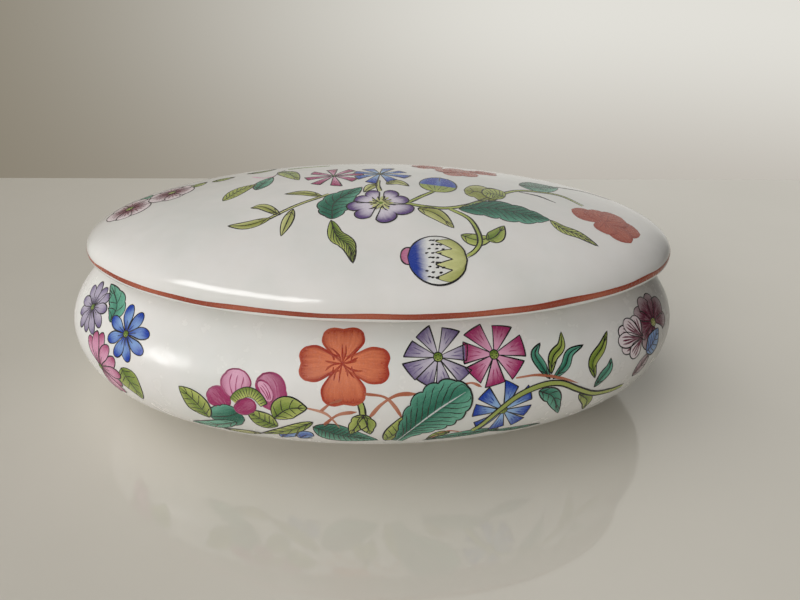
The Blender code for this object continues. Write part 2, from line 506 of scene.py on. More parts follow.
def porcelain_material(name, dulling, coat):
    material, effect, shader, bump = start_material(name, glaze_group())
    for socket, colour_name in (("Glaze", "glaze"), ("Thick", "glaze_thick"), ("Biscuit", "biscuit"),
                                ("Speck", "speck")):
        effect.inputs[socket].default_value = paint_colour(colour_name)
    read_attribute(material.node_tree, "bare", "Fac", effect.inputs["Bare"])
    shader.inputs["IOR"].default_value = 1.52
    effect.inputs["Dulling"].default_value = dulling
    shader.inputs["Coat Weight"].default_value = coat
    shader.inputs["Coat Roughness"].default_value = 0.07
    bump.inputs["Strength"].default_value = 0.5
    bump.inputs["Distance"].default_value = 0.0012
    return material


def enamel_material(name, pigment, streaks):
    material, effect, shader, bump = start_material(name, enamel_group())
    effect.inputs["Deep"].default_value = paint_colour(pigment + "_deep")
    effect.inputs["Thin"].default_value = paint_colour(pigment + "_thin")
    effect.inputs["Streaks"].default_value = streaks
    read_attribute(material.node_tree, "wash", "Fac", effect.inputs["Wash"])
    read_attribute(material.node_tree, "stroke", "Vector", effect.inputs["Stroke"])
    shader.inputs["IOR"].default_value = 1.5
    bump.inputs["Strength"].default_value = 0.25
    bump.inputs["Distance"].default_value = 0.0001
    return material


# Shells

OVAL_STEPS = 288
CORNER_STEPS = 5
DOME_STEPS = 60
CORNER_SHARE = 0.49          # the largest share of a side that a rounded corner takes up
CLOSING_SHARES = (0.8, 0.55, 0.3, 0.05)
UNDERSIDE_STRIP = 4 * MM     # level strip beside the foot ring, before the closing rings
GROUND_HEIGHT = 0.6 * MM     # the foot ring is ground bare below this
GLAZE_LAP = 1.2 * MM         # how far the glaze laps on to a bare rim
LEVEL_MARGIN = 0.1 * MM      # how near to a level or an edge a point counts as on it


def soften(corners, radius):
    """Rounds the corners of a section, given as (inset, height, whether to round it)."""
    section = []
    for index, (inset, height, rounded) in enumerate(corners):
        here = np.array((inset, height))
        if not rounded:
            section.append(here)
            continue
        before = np.array(corners[index - 1][:2])
        after = np.array(corners[index + 1][:2])
        start = here + unit(before - here) * min(radius, np.linalg.norm(before - here) * CORNER_SHARE)
        end = here + unit(after - here) * min(radius, np.linalg.norm(after - here) * CORNER_SHARE)
        for share in np.linspace(0.0, 1.0, CORNER_STEPS):
            section.append(start * (1 - share) ** 2 + here * 2 * share * (1 - share) + end * share ** 2)
    return section


def sharp(points):
    return [(inset, height, False) for inset, height in points]


def curve_between(start, end, steps, drawn, risen):
    """Section points from start to end: drawn and risen ease each share across and up."""
    shares = np.linspace(0.0, 1.0, steps)
    return [(start[0] + (end[0] - start[0]) * drawn(share), start[1] + (end[1] - start[1]) * risen(share))
            for share in shares]


def oval_shell(name, rings, bare, form):
    """A closed mesh through (half length, half width, height) rings, closed by a small face at each end."""
    angles = np.linspace(0.0, 2 * math.pi, OVAL_STEPS, endpoint=False)
    rings = np.array(rings)
    points = np.stack([rings[:, :1] * np.cos(angles), rings[:, 1:2] * np.sin(angles),
                       rings[:, 2:] + np.zeros(OVAL_STEPS)], axis=-1)
    start = np.arange(len(rings) - 1)[:, None] * OVAL_STEPS
    step = np.arange(OVAL_STEPS)[None, :]
    after = (step + 1) % OVAL_STEPS
    quads = np.stack([start + step, start + after, start + after + OVAL_STEPS, start + step + OVAL_STEPS],
                     axis=-1)
    faces = quads.reshape(-1, 4).tolist()
    last = (len(rings) - 1) * OVAL_STEPS
    faces.append(list(range(OVAL_STEPS - 1, -1, -1)))
    faces.append(list(range(last, last + OVAL_STEPS)))
    mesh = bpy.data.meshes.new(name)
    mesh.from_pydata(in_world(form, points.reshape(-1, 3)), [], faces)
    mesh.attributes.new("bare", "FLOAT", "POINT").data.foreach_set("value", np.repeat(bare, OVAL_STEPS))
    mesh.shade_smooth()
    return add_piece(mesh, form)


def in_world(form, points):
    """Points of a form's own frame in the frame of the whole box."""
    spin = np.array(Matrix.Rotation(form.turn, 3, "Z"))
    return points @ spin.T + form.centre


def in_form(form, points):
    """Points or directions of the whole box's frame, turned into a form's own frame."""
    spin = np.array(Matrix.Rotation(form.turn, 3, "Z"))
    return points @ spin


def add_piece(mesh, form):
    piece = bpy.data.objects.new(mesh.name, mesh)
    bpy.context.scene.collection.objects.link(piece)
    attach(piece, form.name)
    return piece


def inset_rings(section):
    """The rings of a section's points, each given by its inset from the lid's rim and its height."""
    size = sizes()
    return [(size.lid_length / 2 - inset, size.lid_width / 2 - inset, height) for inset, height in section]


def closing_rings(ring):
    """Rings that run in from a ring towards the middle, at the same height."""
    return [(ring[0] * share, ring[1] * share, ring[2]) for share in CLOSING_SHARES]


def parabola(share):
    return share ** 2


def evenly(share):
    return share


def quarter_drawn(share):
    """How far a quarter ellipse has drawn in, at a share of its quarter turn."""
    return 1 - math.cos(share * math.pi / 2)


def quarter_risen(share):
    """How far a quarter ellipse has gone up or down, at a share of its quarter turn."""
    return math.sin(share * math.pi / 2)


def base_section():
    """The base's section, from the underside's middle over the belly and down inside, and its bare places."""
    size = sizes()
    outset = -size.belly_bulge + size.relief
    belly = (outset, size.belly_height)
    shoulder = (outset + size.belly_bulge + size.shoulder_inset, size.seat_height)
    collar_outside = size.shoulder_inset + size.seat_width
    collar_inside = collar_outside + size.collar_thickness
    collar_top = size.seat_height + size.collar_height
    floor_height = size.foot_recess + size.floor_thickness
    inner_belly = (size.base_wall - size.belly_bulge, size.belly_height)
    foot_sine = 1 - size.foot_height / size.belly_height
    foot_angle = math.asin(foot_sine)
    under = curve_between(belly, (belly[0] + size.lower_draw, 0.0), steps=30,
                          drawn=lambda share: 1 - math.cos(foot_angle * share),
                          risen=lambda share: math.sin(foot_angle * share))
    foot_outside = under[-1][0]
    foot_inside = foot_outside + size.foot_width
    corners = [(foot_inside + UNDERSIDE_STRIP, size.foot_recess, False),
               (foot_inside, size.foot_recess, True), (foot_inside, 0.0, True), (foot_outside, 0.0, True)]
    corners += sharp(reversed(under))
    outside = curve_between(belly, shoulder, steps=22, drawn=parabola, risen=evenly)
    corners += sharp(outside[1:-1])
    corners += [(*shoulder, True), (collar_outside, size.seat_height, True),
                (collar_outside, collar_top, True), (collar_inside, collar_top, True)]
    inside = curve_between(inner_belly, (collar_inside, size.seat_height), steps=14, drawn=parabola,
                           risen=evenly)
    corners += sharp(reversed(inside))
    bowl = curve_between(inner_belly, (inner_belly[0] + size.lower_draw, floor_height), steps=20,
                         drawn=quarter_drawn, risen=quarter_risen)
    corners += sharp(bowl[1:])
    return np.array(soften(corners, size.edge_round)), foot_inside


def base_shell():
    size = sizes()
    section, foot_inside = base_section()
    rings = inset_rings(section)
    first = closing_rings(rings[0])[::-1]
    last = closing_rings(rings[-1])
    insets, heights = section[:, 0], section[:, 1]
    on_table = (heights < GROUND_HEIGHT) & (insets < foot_inside)
    ledge_start = size.shoulder_inset + GLAZE_LAP
    ledge_end = size.shoulder_inset + size.seat_width + LEVEL_MARGIN
    on_ledge = np.abs(heights - size.seat_height) < LEVEL_MARGIN
    on_ledge &= (insets > ledge_start) & (insets < ledge_end)
    bare = np.concatenate([np.zeros(len(first)), on_table | on_ledge, np.zeros(len(last))])
    piece = oval_shell("base_shell", first + rings + last, bare, BaseForm())
    piece.data.materials.append(porcelain_material("base_porcelain_glaze", dulling=0.10, coat=0.0))
    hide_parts("box_base")


def lid_shell():
    size = sizes()
    form = LidForm()
    rim_inside = size.shoulder_inset + size.seat_width - size.collar_clearance
    hollow_start = size.collar_height + size.collar_headroom
    hollow_rise = size.lip_height + size.dome_height - size.lid_wall - hollow_start
    angles = np.linspace(0.0, math.pi / 2, DOME_STEPS)
    reaches = np.cos(angles[:-1]) ** (2 / size.dome_side_power)
    dome = [(form.half_length * reach, form.half_width * reach, form.height(reach)) for reach in reaches]
    hollow = []
    for angle in angles[1:-1]:
        reach = math.cos(angle) ** (2 / size.dome_side_power)
        risen = math.sin(angle) ** (2 / size.dome_rise_power)
        hollow.append(((size.lid_length / 2 - rim_inside) * reach, (size.lid_width / 2 - rim_inside) * reach,
                       hollow_start + hollow_rise * risen))
    corners = [(rim_inside, hollow_start, False), (rim_inside, 0.0, True), (size.relief, 0.0, True),
               (size.relief, size.lip_height, False)]
    section = np.array(soften(corners, size.edge_round))
    rings = list(reversed(hollow)) + inset_rings(section) + dome[1:]
    under = (section[:, 1] < LEVEL_MARGIN) & (section[:, 0] > GLAZE_LAP)
    bare = np.concatenate([np.zeros(len(hollow)), under, np.zeros(len(dome) - 1)])
    piece = oval_shell("lid_shell", rings, bare, form)
    piece.data.materials.append(porcelain_material("lid_porcelain_glaze", dulling=0.0, coat=0.4))
    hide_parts("lid")


# Enamel laid on a shell

ENAMEL_RISE = 0.02 * MM
ENAMEL_SINK = -0.006 * MM
INK_RISE = 0.045 * MM
INK_FINENESS = 0.82          # how much finer the ink's brush is than the widths given
LAYER_RISE = 0.04 * MM
RIBBON_ACROSS = np.array((-1.0, -0.6, 0.6, 1.0))
RIBBON_TOP = np.array((0.0, 1.0, 1.0, 0.0))
STREAKS_ALONG = 1.6
STREAKS_ACROSS = 7.0
STROKE_SHIFT = 7.31          # sets each stroke's streaks apart from the next stroke's
ENAMEL_STREAKS = 0.5
THIN_SHARE = 0.05            # how much of a shape its enamel takes to run out at an edge
TAPER_RATE = 5               # how soon a line comes to its full width
SWELL = 0.24                 # how much a line swells and thins
SWELL_TURN = 8               # radians of that swelling from end to end
DRYNESS = 0.15               # how much a line's wash thins where the brush runs dry
DRY_TURN = 7                 # radians of that thinning from end to end
LATEST_START = 6             # radians by which either may be shifted
SPINE_STEPS = 41
STROKE_STEPS = 30
PATH_MARGIN = 1e-6           # keeps a path's last point within its last span
CLOSE_POINTS = 0.01 * MM     # points of an outline nearer than this are one point
LEAF_ROWS = 25
ROWS_FOR_A_WAVE = 12
VEIN_ROOTS = (0.10, 0.76)    # where along the rib the first and last side veins start
VEIN_REACH = 0.88            # how far out a side vein runs

# The search for a shell's surface
SLOPE_STEP = 0.05 * MM
LEAST_SLOPE = 0.05
LONGEST_MOVE = 3 * MM
SETTLE_ROUNDS = 8
SEARCH_REACH = 120 * MM
SEARCH_STEP = 0.5 * MM
SEARCH_HALVINGS = 14


class Pot:
    """Enamel of one pigment, gathered for one shell as grids of points."""

    def __init__(self):
        self.points = []
        self.faces = []
        self.washes = []
        self.strokes = []
        self.size = 0

    def lay(self, points, wash, along, across):
        """Adds one stroke: a grid of points with its wash, and its places along and across the stroke."""
        rows, columns = points.shape[:2]
        corner = np.arange(rows - 1)[:, None] * columns + np.arange(columns - 1)[None, :] + self.size
        quads = np.stack([corner, corner + columns, corner + columns + 1, corner + 1], axis=-1)
        turned = len(self.strokes) * STROKE_SHIFT
        stroke = np.stack([along * STREAKS_ALONG + turned, across * STREAKS_ACROSS, along * 0 + turned],
                          axis=-1)
        self.points.append(points.reshape(-1, 3))
        self.faces.append(quads.reshape(-1, 4))
        self.washes.append(np.broadcast_to(wash, (rows, columns)).reshape(-1))
        self.strokes.append(stroke.reshape(-1, 3))
        self.size += rows * columns

    def mesh(self, name, form):
        mesh = bpy.data.meshes.new(name)
        mesh.from_pydata(in_world(form, np.concatenate(self.points)), [], np.concatenate(self.faces).tolist())
        wash = np.clip(np.concatenate(self.washes), 0.0, 1.0).astype(np.float32)
        mesh.attributes.new("wash", "FLOAT", "POINT").data.foreach_set("value", wash)
        stroke = np.concatenate(self.strokes).astype(np.float32)
        places = mesh.attributes.new("stroke", "FLOAT_VECTOR", "POINT")
        places.data.foreach_set("vector", stroke.reshape(-1))
        mesh.shade_smooth()
        return mesh


# Half widths of petals and leaves, from root to end

def pointed(along):
    """A leaf that is pointed at both ends."""
    return np.sin(math.pi * np.clip(along, 0.0, 1.0) ** 0.85) ** 0.85


def rounded(along):
    """A petal with a narrow root and a round end."""
    return np.sin(math.pi * np.clip(along, 0.0, 1.0) ** 1.6) ** 0.65


def club(along):
    """A petal that swells from a narrow root to a broad round end."""
    swelling = 0.22 + 0.78 * smooth(along / 0.62)
    ending = np.sqrt(np.maximum(1 - (np.maximum(along - 0.62, 0.0) / 0.38) ** 2, 0.0))
    return swelling * ending


def oval(along):
    return np.sqrt(np.maximum(1 - (2 * along - 1) ** 2, 0.0))


def blunt(along):
    """A band of nearly one width with soft ends."""
    return 0.75 + 0.25 * oval(along)


def fanned(along):
    """A petal that widens evenly from its root to its end."""
    return 0.14 + 0.86 * along ** 0.95


def shell_sided(along):
    """A petal that widens early and stays broad to its end."""
    return 0.12 + 0.88 * smooth(along * 1.25)


def necked(along):
    """A broad petal on a narrower neck."""
    return 0.42 + 0.58 * smooth(along * 1.5) - 0.06 * smooth((along - 0.72) / 0.28)


# Shortening of a petal's end from side to side

def cut_end(across):
    """A nearly straight end."""
    return 0.02 * across ** 2


def notched_end(across):
    """A round end with a notch in its middle."""
    return 0.16 * np.abs(across) ** 5 + 0.05 * np.maximum(1 - np.abs(across) * 2.2, 0.0)


def lobed_end(across):
    """Two round lobes side by side."""
    return 0.26 * (1 - np.sqrt(np.maximum(1 - (2 * np.abs(across) - 1) ** 2, 0.0)))


def round_end(across):
    return 0.42 * np.abs(across) ** 2.6


class Spot:
    """A place on a shell: its point, normal and the right and up directions of a flat drawing there."""

    def __init__(self, point, normal, right):
        self.point = point
        self.normal = normal
        self.right = right
        self.up = np.cross(normal, right)


class Petal:
    """A petal drawn flat at a spot. along runs 0 to 1 from root to end, across -1 to 1 over its width."""

    def __init__(self, painter, spot, root, end, width, sides=rounded, bend=0.0, cut=None):
        self.painter = painter
        self.spot = spot
        self.root = np.array(root, float)
        self.run = np.array(end, float) - self.root
        self.side = np.array((-self.run[1], self.run[0])) / max(np.linalg.norm(self.run), TINY)
        self.half = width / 2
        self.sides = sides
        self.bend = bend * np.linalg.norm(self.run)
        self.cut = cut

    def points(self, along, across):
        along, across = np.broadcast_arrays(np.asarray(along, float), np.asarray(across, float))
        reach = along if self.cut is None else along * (1 - self.cut(across) * along ** 2)
        offset = self.half * self.sides(along) * across + self.bend * 4 * along * (1 - along)
        flat = self.root + reach[..., None] * self.run + offset[..., None] * self.side
        return self.painter.drape(self.spot, flat)


class Leaf:
    """A leaf whose spine runs through pixels. along runs 0 to 1 from root to tip, across runs -1 to 1."""

    def __init__(self, painter, pixels, width, sides=pointed, waves=0, wave_depth=0.16, left=1.0, right=1.0):
        self.painter = painter
        self.spine = painter.path(pixels, SPINE_STEPS)
        self.normals = painter.normals(self.spine)
        self.side = np.cross(self.normals, unit(np.gradient(self.spine, axis=0)))
        self.half = width / 2
        self.sides = sides
        self.waves = waves
        self.wave_depth = wave_depth
        self.left = left
        self.right = right

    def points(self, along, across):
        along, across = np.broadcast_arrays(np.asarray(along, float), np.asarray(across, float))
        place = np.clip(along, 0.0, 1.0) * (SPINE_STEPS - 1)
        first = np.minimum(place.astype(int), SPINE_STEPS - 2)
        share = (place - first)[..., None]
        middle, normal, side = (track[first] * (1 - share) + track[first + 1] * share
                                for track in (self.spine, self.normals, self.side))
        lobes = np.abs(np.sin((along * self.waves + 0.5 * (across > 0)) * math.pi)) ** 0.7
        scallop = 1 - self.wave_depth * (1 - lobes) if self.waves else 1.0
        reach = self.half * self.sides(along) * across * scallop
        reach = reach * np.where(across > 0, self.left, self.right)
        return self.painter.settle(middle + side * reach[..., None], normal)


def edge_places(steps):
    """(along, across) places round a petal: from the root up one side, over the end and down the other."""
    up = np.linspace(0.0, 1.0, steps)
    over = np.linspace(-1.0, 1.0, steps)
    along = np.concatenate([up, np.ones(steps - 2), up[::-1]])
    across = np.concatenate([-np.ones(steps), over[1:-1], np.ones(steps)])
    return along, across


class Painter:
    """Paints petals, leaves and brush lines on one shell. Strokes are gathered in a pot for each pigment.

    Later layers lie a little higher, so that they cover the strokes under them.
    """

    def __init__(self, form):
        self.form = form
        self.pots = {}
        self.layer = 0
        self.camera = PhotoCamera()
        self.chance = np.random.default_rng(len(form.name))

    def pot(self, pigment):
        return self.pots.setdefault(pigment, Pot())

    def normals(self, points):
        slopes = []
        for axis in np.eye(3) * SLOPE_STEP:
            slopes.append(self.form.level(points + axis) - self.form.level(points - axis))
        return unit(np.stack(slopes, axis=-1))

    def settle(self, points, direction):
        """Moves points along a direction until they lie on the shell."""
        for _ in range(SETTLE_ROUNDS):
            gap = self.form.level(points)
            slope = (self.form.level(points + direction * SLOPE_STEP) - gap) / SLOPE_STEP
            slope = np.where(np.abs(slope) < LEAST_SLOPE, LEAST_SLOPE, slope)
            points = points - direction * np.clip(gap / slope, -LONGEST_MOVE, LONGEST_MOVE)[..., None]
        points[..., 2] = np.maximum(points[..., 2], self.form.lowest)
        return points

    def under_pixels(self, pixels):
        """The shell's points, in its own frame, that lie under pixels of the photograph."""
        pixels = np.asarray(pixels, float).reshape(-1, 2)
        start = in_form(self.form, self.camera.place - self.form.centre)
        rays = in_form(self.form, self.camera.rays(pixels))
        depths = self.camera.reach + np.arange(-SEARCH_REACH, SEARCH_REACH, SEARCH_STEP)
        trail = start + rays[:, None, :] * depths[None, :, None]
        inside = (self.form.level(trail) < 0) & (trail[..., 2] > self.form.lowest)
        if not inside.any(axis=1).all():
            missed = pixels[~inside.any(axis=1)].tolist()
            raise ValueError(f"no part of the {self.form.name} lies under pixels {missed}")
        first = np.argmax(inside, axis=1)
        near, far = depths[first - 1], depths[first]
        for _ in range(SEARCH_HALVINGS):
            middle = (near + far) / 2
            within = self.form.level(start + rays * middle[:, None]) < 0
            near, far = np.where(within, near, middle), np.where(within, middle, far)
        return start + rays * far[:, None]

    def spot(self, pixel):
        point = self.under_pixels([pixel])[0]
        normal = self.normals(point[None])[0]
        return Spot(point, normal, self.form.right(normal))

    def drape(self, spot, flat):
        """Flat places, in metres from the spot, settled on the shell."""
        lifted = spot.point + flat[..., :1] * spot.right + flat[..., 1:] * spot.up
        return self.settle(lifted, spot.normal)

    def path(self, pixels, steps):
        """Points of the shell along a smooth curve through pixels."""
        knots = np.asarray(pixels, float)
        knots = np.concatenate([[2 * knots[0] - knots[1]], knots, [2 * knots[-1] - knots[-2]]])
        spans = len(knots) - 3
        places = np.linspace(0.0, spans - PATH_MARGIN, steps)
        first = places.astype(int)
        share = (places - first)[:, None]
        before, start, end, after = (knots[first + offset] for offset in range(4))
        bow = 2 * before - 5 * start + 4 * end - after
        sway = 3 * start - before - 3 * end + after
        curve = start + ((end - before) * share + bow * share ** 2 + sway * share ** 3) / 2
        return self.under_pixels(curve)

    def fill(self, pigment, shape, wash, rows=17, columns=13, low=(0.0, -1.0), high=(1.0, 1.0)):
        """Lays a petal's or leaf's enamel, with its edges run out thin.

        wash is one number, or a function of the places along and across. low and high are the (along, across)
        corners of the part that is filled.
        """
        inner_along = np.linspace(0.0, 1.0, rows)[:, None]
        inner_across = np.linspace(0.0, 1.0, columns)[None, :]
        along = low[0] + (high[0] - low[0]) * inner_along
        across = low[1] + (high[1] - low[1]) * inner_across
        points = shape.points(along, across)
        from_end = np.minimum(inner_along, 1 - inner_along)
        from_side = np.minimum(inner_across, 1 - inner_across)
        thick = smooth(np.minimum(from_end, from_side) / THIN_SHARE)
        rise = ENAMEL_SINK + (ENAMEL_RISE - ENAMEL_SINK) * thick + LAYER_RISE * self.layer
        points = points + self.normals(points) * rise[..., None]
        along, across = np.broadcast_arrays(along, across)
        depth = wash(along, across) if callable(wash) else wash
        self.pot(pigment).lay(points, depth, along, across)

    def ribbon(self, pigment, points, width, wash=0.9, ends=(0.35, 0.25), top=INK_RISE):
        """A brush line along points of the shell, that swells and thins, and tapers at its ends."""
        steps = len(points)
        share = np.linspace(0.0, 1.0, steps)
        taper = np.minimum(ends[0] + share * TAPER_RATE, ends[1] + (1 - share) * TAPER_RATE)
        swelling = np.sin(share * SWELL_TURN + self.chance.uniform(0, LATEST_START))
        swell = np.minimum(taper, 1.0) * (1 + SWELL * swelling)
        normals = self.normals(points)
        sides = np.cross(normals, unit(np.gradient(points, axis=0)))
        fineness = INK_FINENESS if pigment == "ink" else 1.0
        reach = RIBBON_ACROSS[None, :] * swell[:, None] * width * fineness / 2
        grid = points[:, None] + sides[:, None] * reach[..., None]
        rise = RIBBON_TOP * top + LAYER_RISE * self.layer
        grid = grid + normals[:, None] * rise[None, :, None]
        along, across = np.broadcast_arrays(share[:, None], RIBBON_ACROSS[None, :])
        drying = np.sin(along * DRY_TURN + self.chance.uniform(0, LATEST_START))
        self.pot(pigment).lay(grid, wash * (1 - DRYNESS + DRYNESS * drying), along, across)

    def line(self, pigment, shape, along, width, across=(0.0, 0.0), wash=0.9, steps=7, ends=(0.35, 0.25)):
        """A brush line on a petal or leaf. along and across each give where it starts and where it ends."""
        points = shape.points(np.linspace(*along, steps), np.linspace(*across, steps))
        self.ribbon(pigment, points, width * MM, wash, ends)

    def outline(self, pigment, shape, width, wash=0.95, steps=33):
        points = shape.points(*edge_places(steps))
        moved = np.concatenate([[True], np.linalg.norm(np.diff(points, axis=0), axis=1) > CLOSE_POINTS])
        self.ribbon(pigment, points[moved], width * MM, wash, ends=(0.7, 0.7))

    def stroke(self, pigment, pixels, width, wash=0.9):
        """A brush line through pixels of the photograph."""
        self.ribbon(pigment, self.path(pixels, STROKE_STEPS), width * MM, wash, ends=(0.6, 0.25))

    def dab(self, pigment, spot, radius, place=(0.0, 0.0), wash=0.9):
        """A small round touch of the brush. place is in metres from the spot."""
        reach = np.array((radius * MM, 0.0))
        touch = Petal(self, spot, place - reach, place + reach, radius * MM * 2, oval)
        self.fill(pigment, touch, wash, rows=6, columns=6)

    def leaf(self, pigment, pixels, width, veins, waves=0, depth=0.16, deep=0.8, ink=0.45,
             sides=pointed, left=1.0, right=1.0, rib="ink", lean=0.16):
        """A leaf along a spine of pixels: deep enamel by the rib, an outline, a rib and side veins."""
        leaf = Leaf(self, pixels, width * MM, sides, waves, depth, left, right)
        shift = self.chance.uniform(-0.1, 0.1)
        rows = ROWS_FOR_A_WAVE * waves + 1 if waves else LEAF_ROWS

        def wash(along, across):
            return deep * (1 - 0.6 * np.abs(across - 0.2)) * (1.15 - 0.45 * along) + shift

        self.fill(pigment, leaf, wash, rows)
        self.outline("ink", leaf, width=ink, steps=rows)
        self.line(rib, leaf, along=(0.0, 0.95), width=ink, steps=18, ends=(0.8, 0.25))
        for place in np.linspace(*VEIN_ROOTS, veins):
            for side in (-1, 1):
                self.line("ink", leaf, along=(place, place + lean), across=(0.0, side * VEIN_REACH),
                          width=ink * 0.75, wash=0.85)

    def take_half_turn(self, other):
        """Adds another painter's strokes, turned half round the shell's upright axis."""
        for pigment, given in other.pots.items():
            pot = self.pot(pigment)
            pot.faces += [faces + pot.size for faces in given.faces]
            pot.points += [points * (-1.0, -1.0, 1.0) for points in given.points]
            pot.washes += given.washes
            pot.strokes += given.strokes
            pot.size += given.size

    def pieces(self):
        """Makes one piece of each pot."""
        for pigment, pot in sorted(self.pots.items()):
            name = f"{self.form.name}_{pigment}_enamel"
            piece = add_piece(pot.mesh(name, self.form), self.form)
            piece.data.materials.append(enamel_material(name, pigment, ENAMEL_STREAKS))


# Flowers, with sizes in millimetres

HAIR = 0.5                          # width of the space that a stamen is drawn in
THREE_STREAKS = (-0.5, 0.0, 0.5)    # where three streaks lie across a petal


def around(count, start):
    """Angles of petals spread evenly round a flower, in degrees."""
    return [start + 360.0 * index / count for index in range(count)]


def ray_petal(painter, spot, degrees, root, reach, width, **shape):
    """A petal that points away from a flower's middle, from a root to a reach."""
    direction = np.array((math.cos(math.radians(degrees)), math.sin(math.radians(degrees)))) * MM
    return Petal(painter, spot, direction * root, direction * reach, width * MM, **shape)


def heart(painter, spot, radius, pigment, dots, wash=0.5):
    """A flower's middle: a disc of enamel ringed with dark stamens."""
    disc = Petal(painter, spot, (-radius * MM, 0.0), (radius * MM, 0.0), radius * 2 * MM, oval)
    painter.fill(pigment, disc, lambda along, across: wash + 0.3 * across, rows=9, columns=9)
    painter.outline("ink", disc, width=0.36, wash=0.9, steps=13)
    for degrees in around(dots, start=20.0):
        angle = math.radians(degrees)
        place = np.array((math.cos(angle), math.sin(angle))) * radius * 0.55 * MM
        painter.dab("ink", spot, radius=0.24, place=place)


def daisy(painter, pixel, pigment, angles, reach, width, shade, tip=0.55):
    """Separate narrow petals round a small middle, each with its own outline."""
    spot = painter.spot(pixel)
    for index, degrees in enumerate(angles):
        painter.layer = index % 2
        own_reach = reach * painter.chance.uniform(0.92, 1.06)
        turned = degrees + painter.chance.uniform(-4, 4)
        petal = ray_petal(painter, spot, turned, own_reach * 0.06, own_reach, width, sides=club,
                          bend=painter.chance.uniform(-0.06, 0.06))
        side = painter.chance.uniform(-0.2, 0.2)

        def wash(along, across):
            return shade + tip * (2 * along - 1) ** 2 + side * across

        painter.fill(pigment, petal, wash)
        painter.outline("ink", petal, width=0.40)
        painter.line("ink", petal, along=(0.05, 0.42), width=0.28, wash=0.7, steps=6)
    painter.layer = 2
    heart(painter, spot, radius=0.9, pigment="olive", dots=4, wash=0.8)


def pinwheel(painter, pixel, pigment, angles, reach, width, middle=1.15, ink=0.40, deep=0.95):
    """Wedge petals set apart, with nearly straight ends, pale at the middle and deep at the end."""
    spot = painter.spot(pixel)
    for index, degrees in enumerate(angles):
        painter.layer = index % 2
        own_reach = reach * painter.chance.uniform(0.92, 1.07)
        patch = painter.chance.uniform(-0.25, 0.25)
        tilt = painter.chance.uniform(-0.10, 0.10)
        own_width = width * painter.chance.uniform(0.9, 1.08)

        def slanted_end(across):
            return cut_end(across) + tilt * across

        def wash(along, across):
            return 0.1 + deep * along ** 1.5 + patch * across

        petal = ray_petal(painter, spot, degrees, own_reach * 0.12, own_reach, own_width, sides=fanned,
                          cut=slanted_end)
        painter.fill(pigment, petal, wash)
        painter.outline("ink", petal, width=ink, wash=1.0)
        for side in (-0.4, 0.45):
            painter.line(pigment, petal, along=(0.9, painter.chance.uniform(0.35, 0.55)),
                         across=(side, side * 0.6), width=0.34)
    painter.layer = 2
    heart(painter, spot, radius=middle, pigment="olive", dots=6, wash=0.75)


def plum_wash(along, across):
    """White inside, and deep towards the end and the sides."""
    return 1.25 * along ** 2.6 + 0.5 * np.abs(across) ** 4 * along ** 0.5 - 0.1


def plum_blossom(painter, pixel):
    """Four two-lobed petals set crosswise, white inside and deep plum at their edges, with dark stamens."""
    spot = painter.spot(pixel)
    for degrees, reach, width in ((42, 7.3, 8.4), (138, 7.0, 8.2), (212, 8.8, 8.8), (-50, 8.4, 11.6)):
        painter.layer = 2 if degrees < 0 else 1
        petal = ray_petal(painter, spot, degrees, 0.3, reach, width, sides=shell_sided, cut=lobed_end)
        painter.fill("plum", petal, plum_wash, rows=21, columns=33)
        painter.outline("ink", petal, width=0.48, steps=61)
    painter.layer = 3
    halo = Petal(painter, spot, (-2.4 * MM, 0.0), (2.4 * MM, 0.0), 4.4 * MM, oval)
    painter.fill("yellow", halo, wash=0.1, rows=11, columns=11)
    for degrees in around(13, start=3.0):
        ray = ray_petal(painter, spot, degrees, 0.6, painter.chance.uniform(2.6, 4.0), HAIR)
        painter.line("yellow", ray, along=(0.0, 1.0), width=0.7, wash=0.4, steps=6)
    painter.layer = 4
    for degrees in around(15, start=10.0):
        stamen = ray_petal(painter, spot, degrees, painter.chance.uniform(0.6, 1.6),
                           painter.chance.uniform(2.6, 4.4), HAIR, bend=painter.chance.uniform(-0.2, 0.2))
        painter.line("ink", stamen, along=(0.0, 1.0), width=0.46, steps=6)
    painter.dab("olive", spot, radius=0.7)
    painter.layer = 0


def coral_wash(along, across):
    """Even, paler at the root and darker at the very edge."""
    return 0.46 + 0.5 * np.maximum(along, np.abs(across)) ** 8 - 0.22 * (1 - along) ** 2


def coral_blossom(painter, pixel):
    """Four broad square-shouldered petals set crosswise, edged darker, with stamens from the middle."""
    spot = painter.spot(pixel)
    for degrees, reach, width in ((91, 8.7, 10.0), (181, 10.5, 8.4), (-2, 11.2, 8.6), (-87, 10.0, 10.6)):
        petal = ray_petal(painter, spot, degrees, 0.8, reach, width, sides=necked, cut=notched_end)
        painter.fill("coral", petal, coral_wash, rows=27, columns=21)
        painter.outline("coral", petal, width=0.60, wash=1.0, steps=61)
        for place in np.linspace(-0.75, 0.75, 6):
            start = painter.chance.uniform(0.78, 0.9)
            painter.line("coral", petal, along=(start, 0.99), across=(place, place), width=0.34, steps=6)
    painter.layer = 1
    painter.dab("coral", spot, radius=2.0, wash=0.3)
    for degrees in around(15, start=4.0):
        stamen = ray_petal(painter, spot, degrees + painter.chance.uniform(-9, 9), 0.3,
                           painter.chance.uniform(3.0, 5.6), HAIR,
                           bend=painter.chance.uniform(-0.16, 0.16))
        painter.line("coral", stamen, along=(0.0, 1.0), width=0.46, wash=1.0, steps=6)
    painter.dab("coral", spot, radius=0.8, wash=1.0)
    painter.layer = 0


def iron_wash(along, across):
    """Nearly even, a little deeper at both ends and the sides."""
    return 0.55 + 0.5 * (along - 0.55) ** 2 + 0.3 * np.abs(across) ** 3


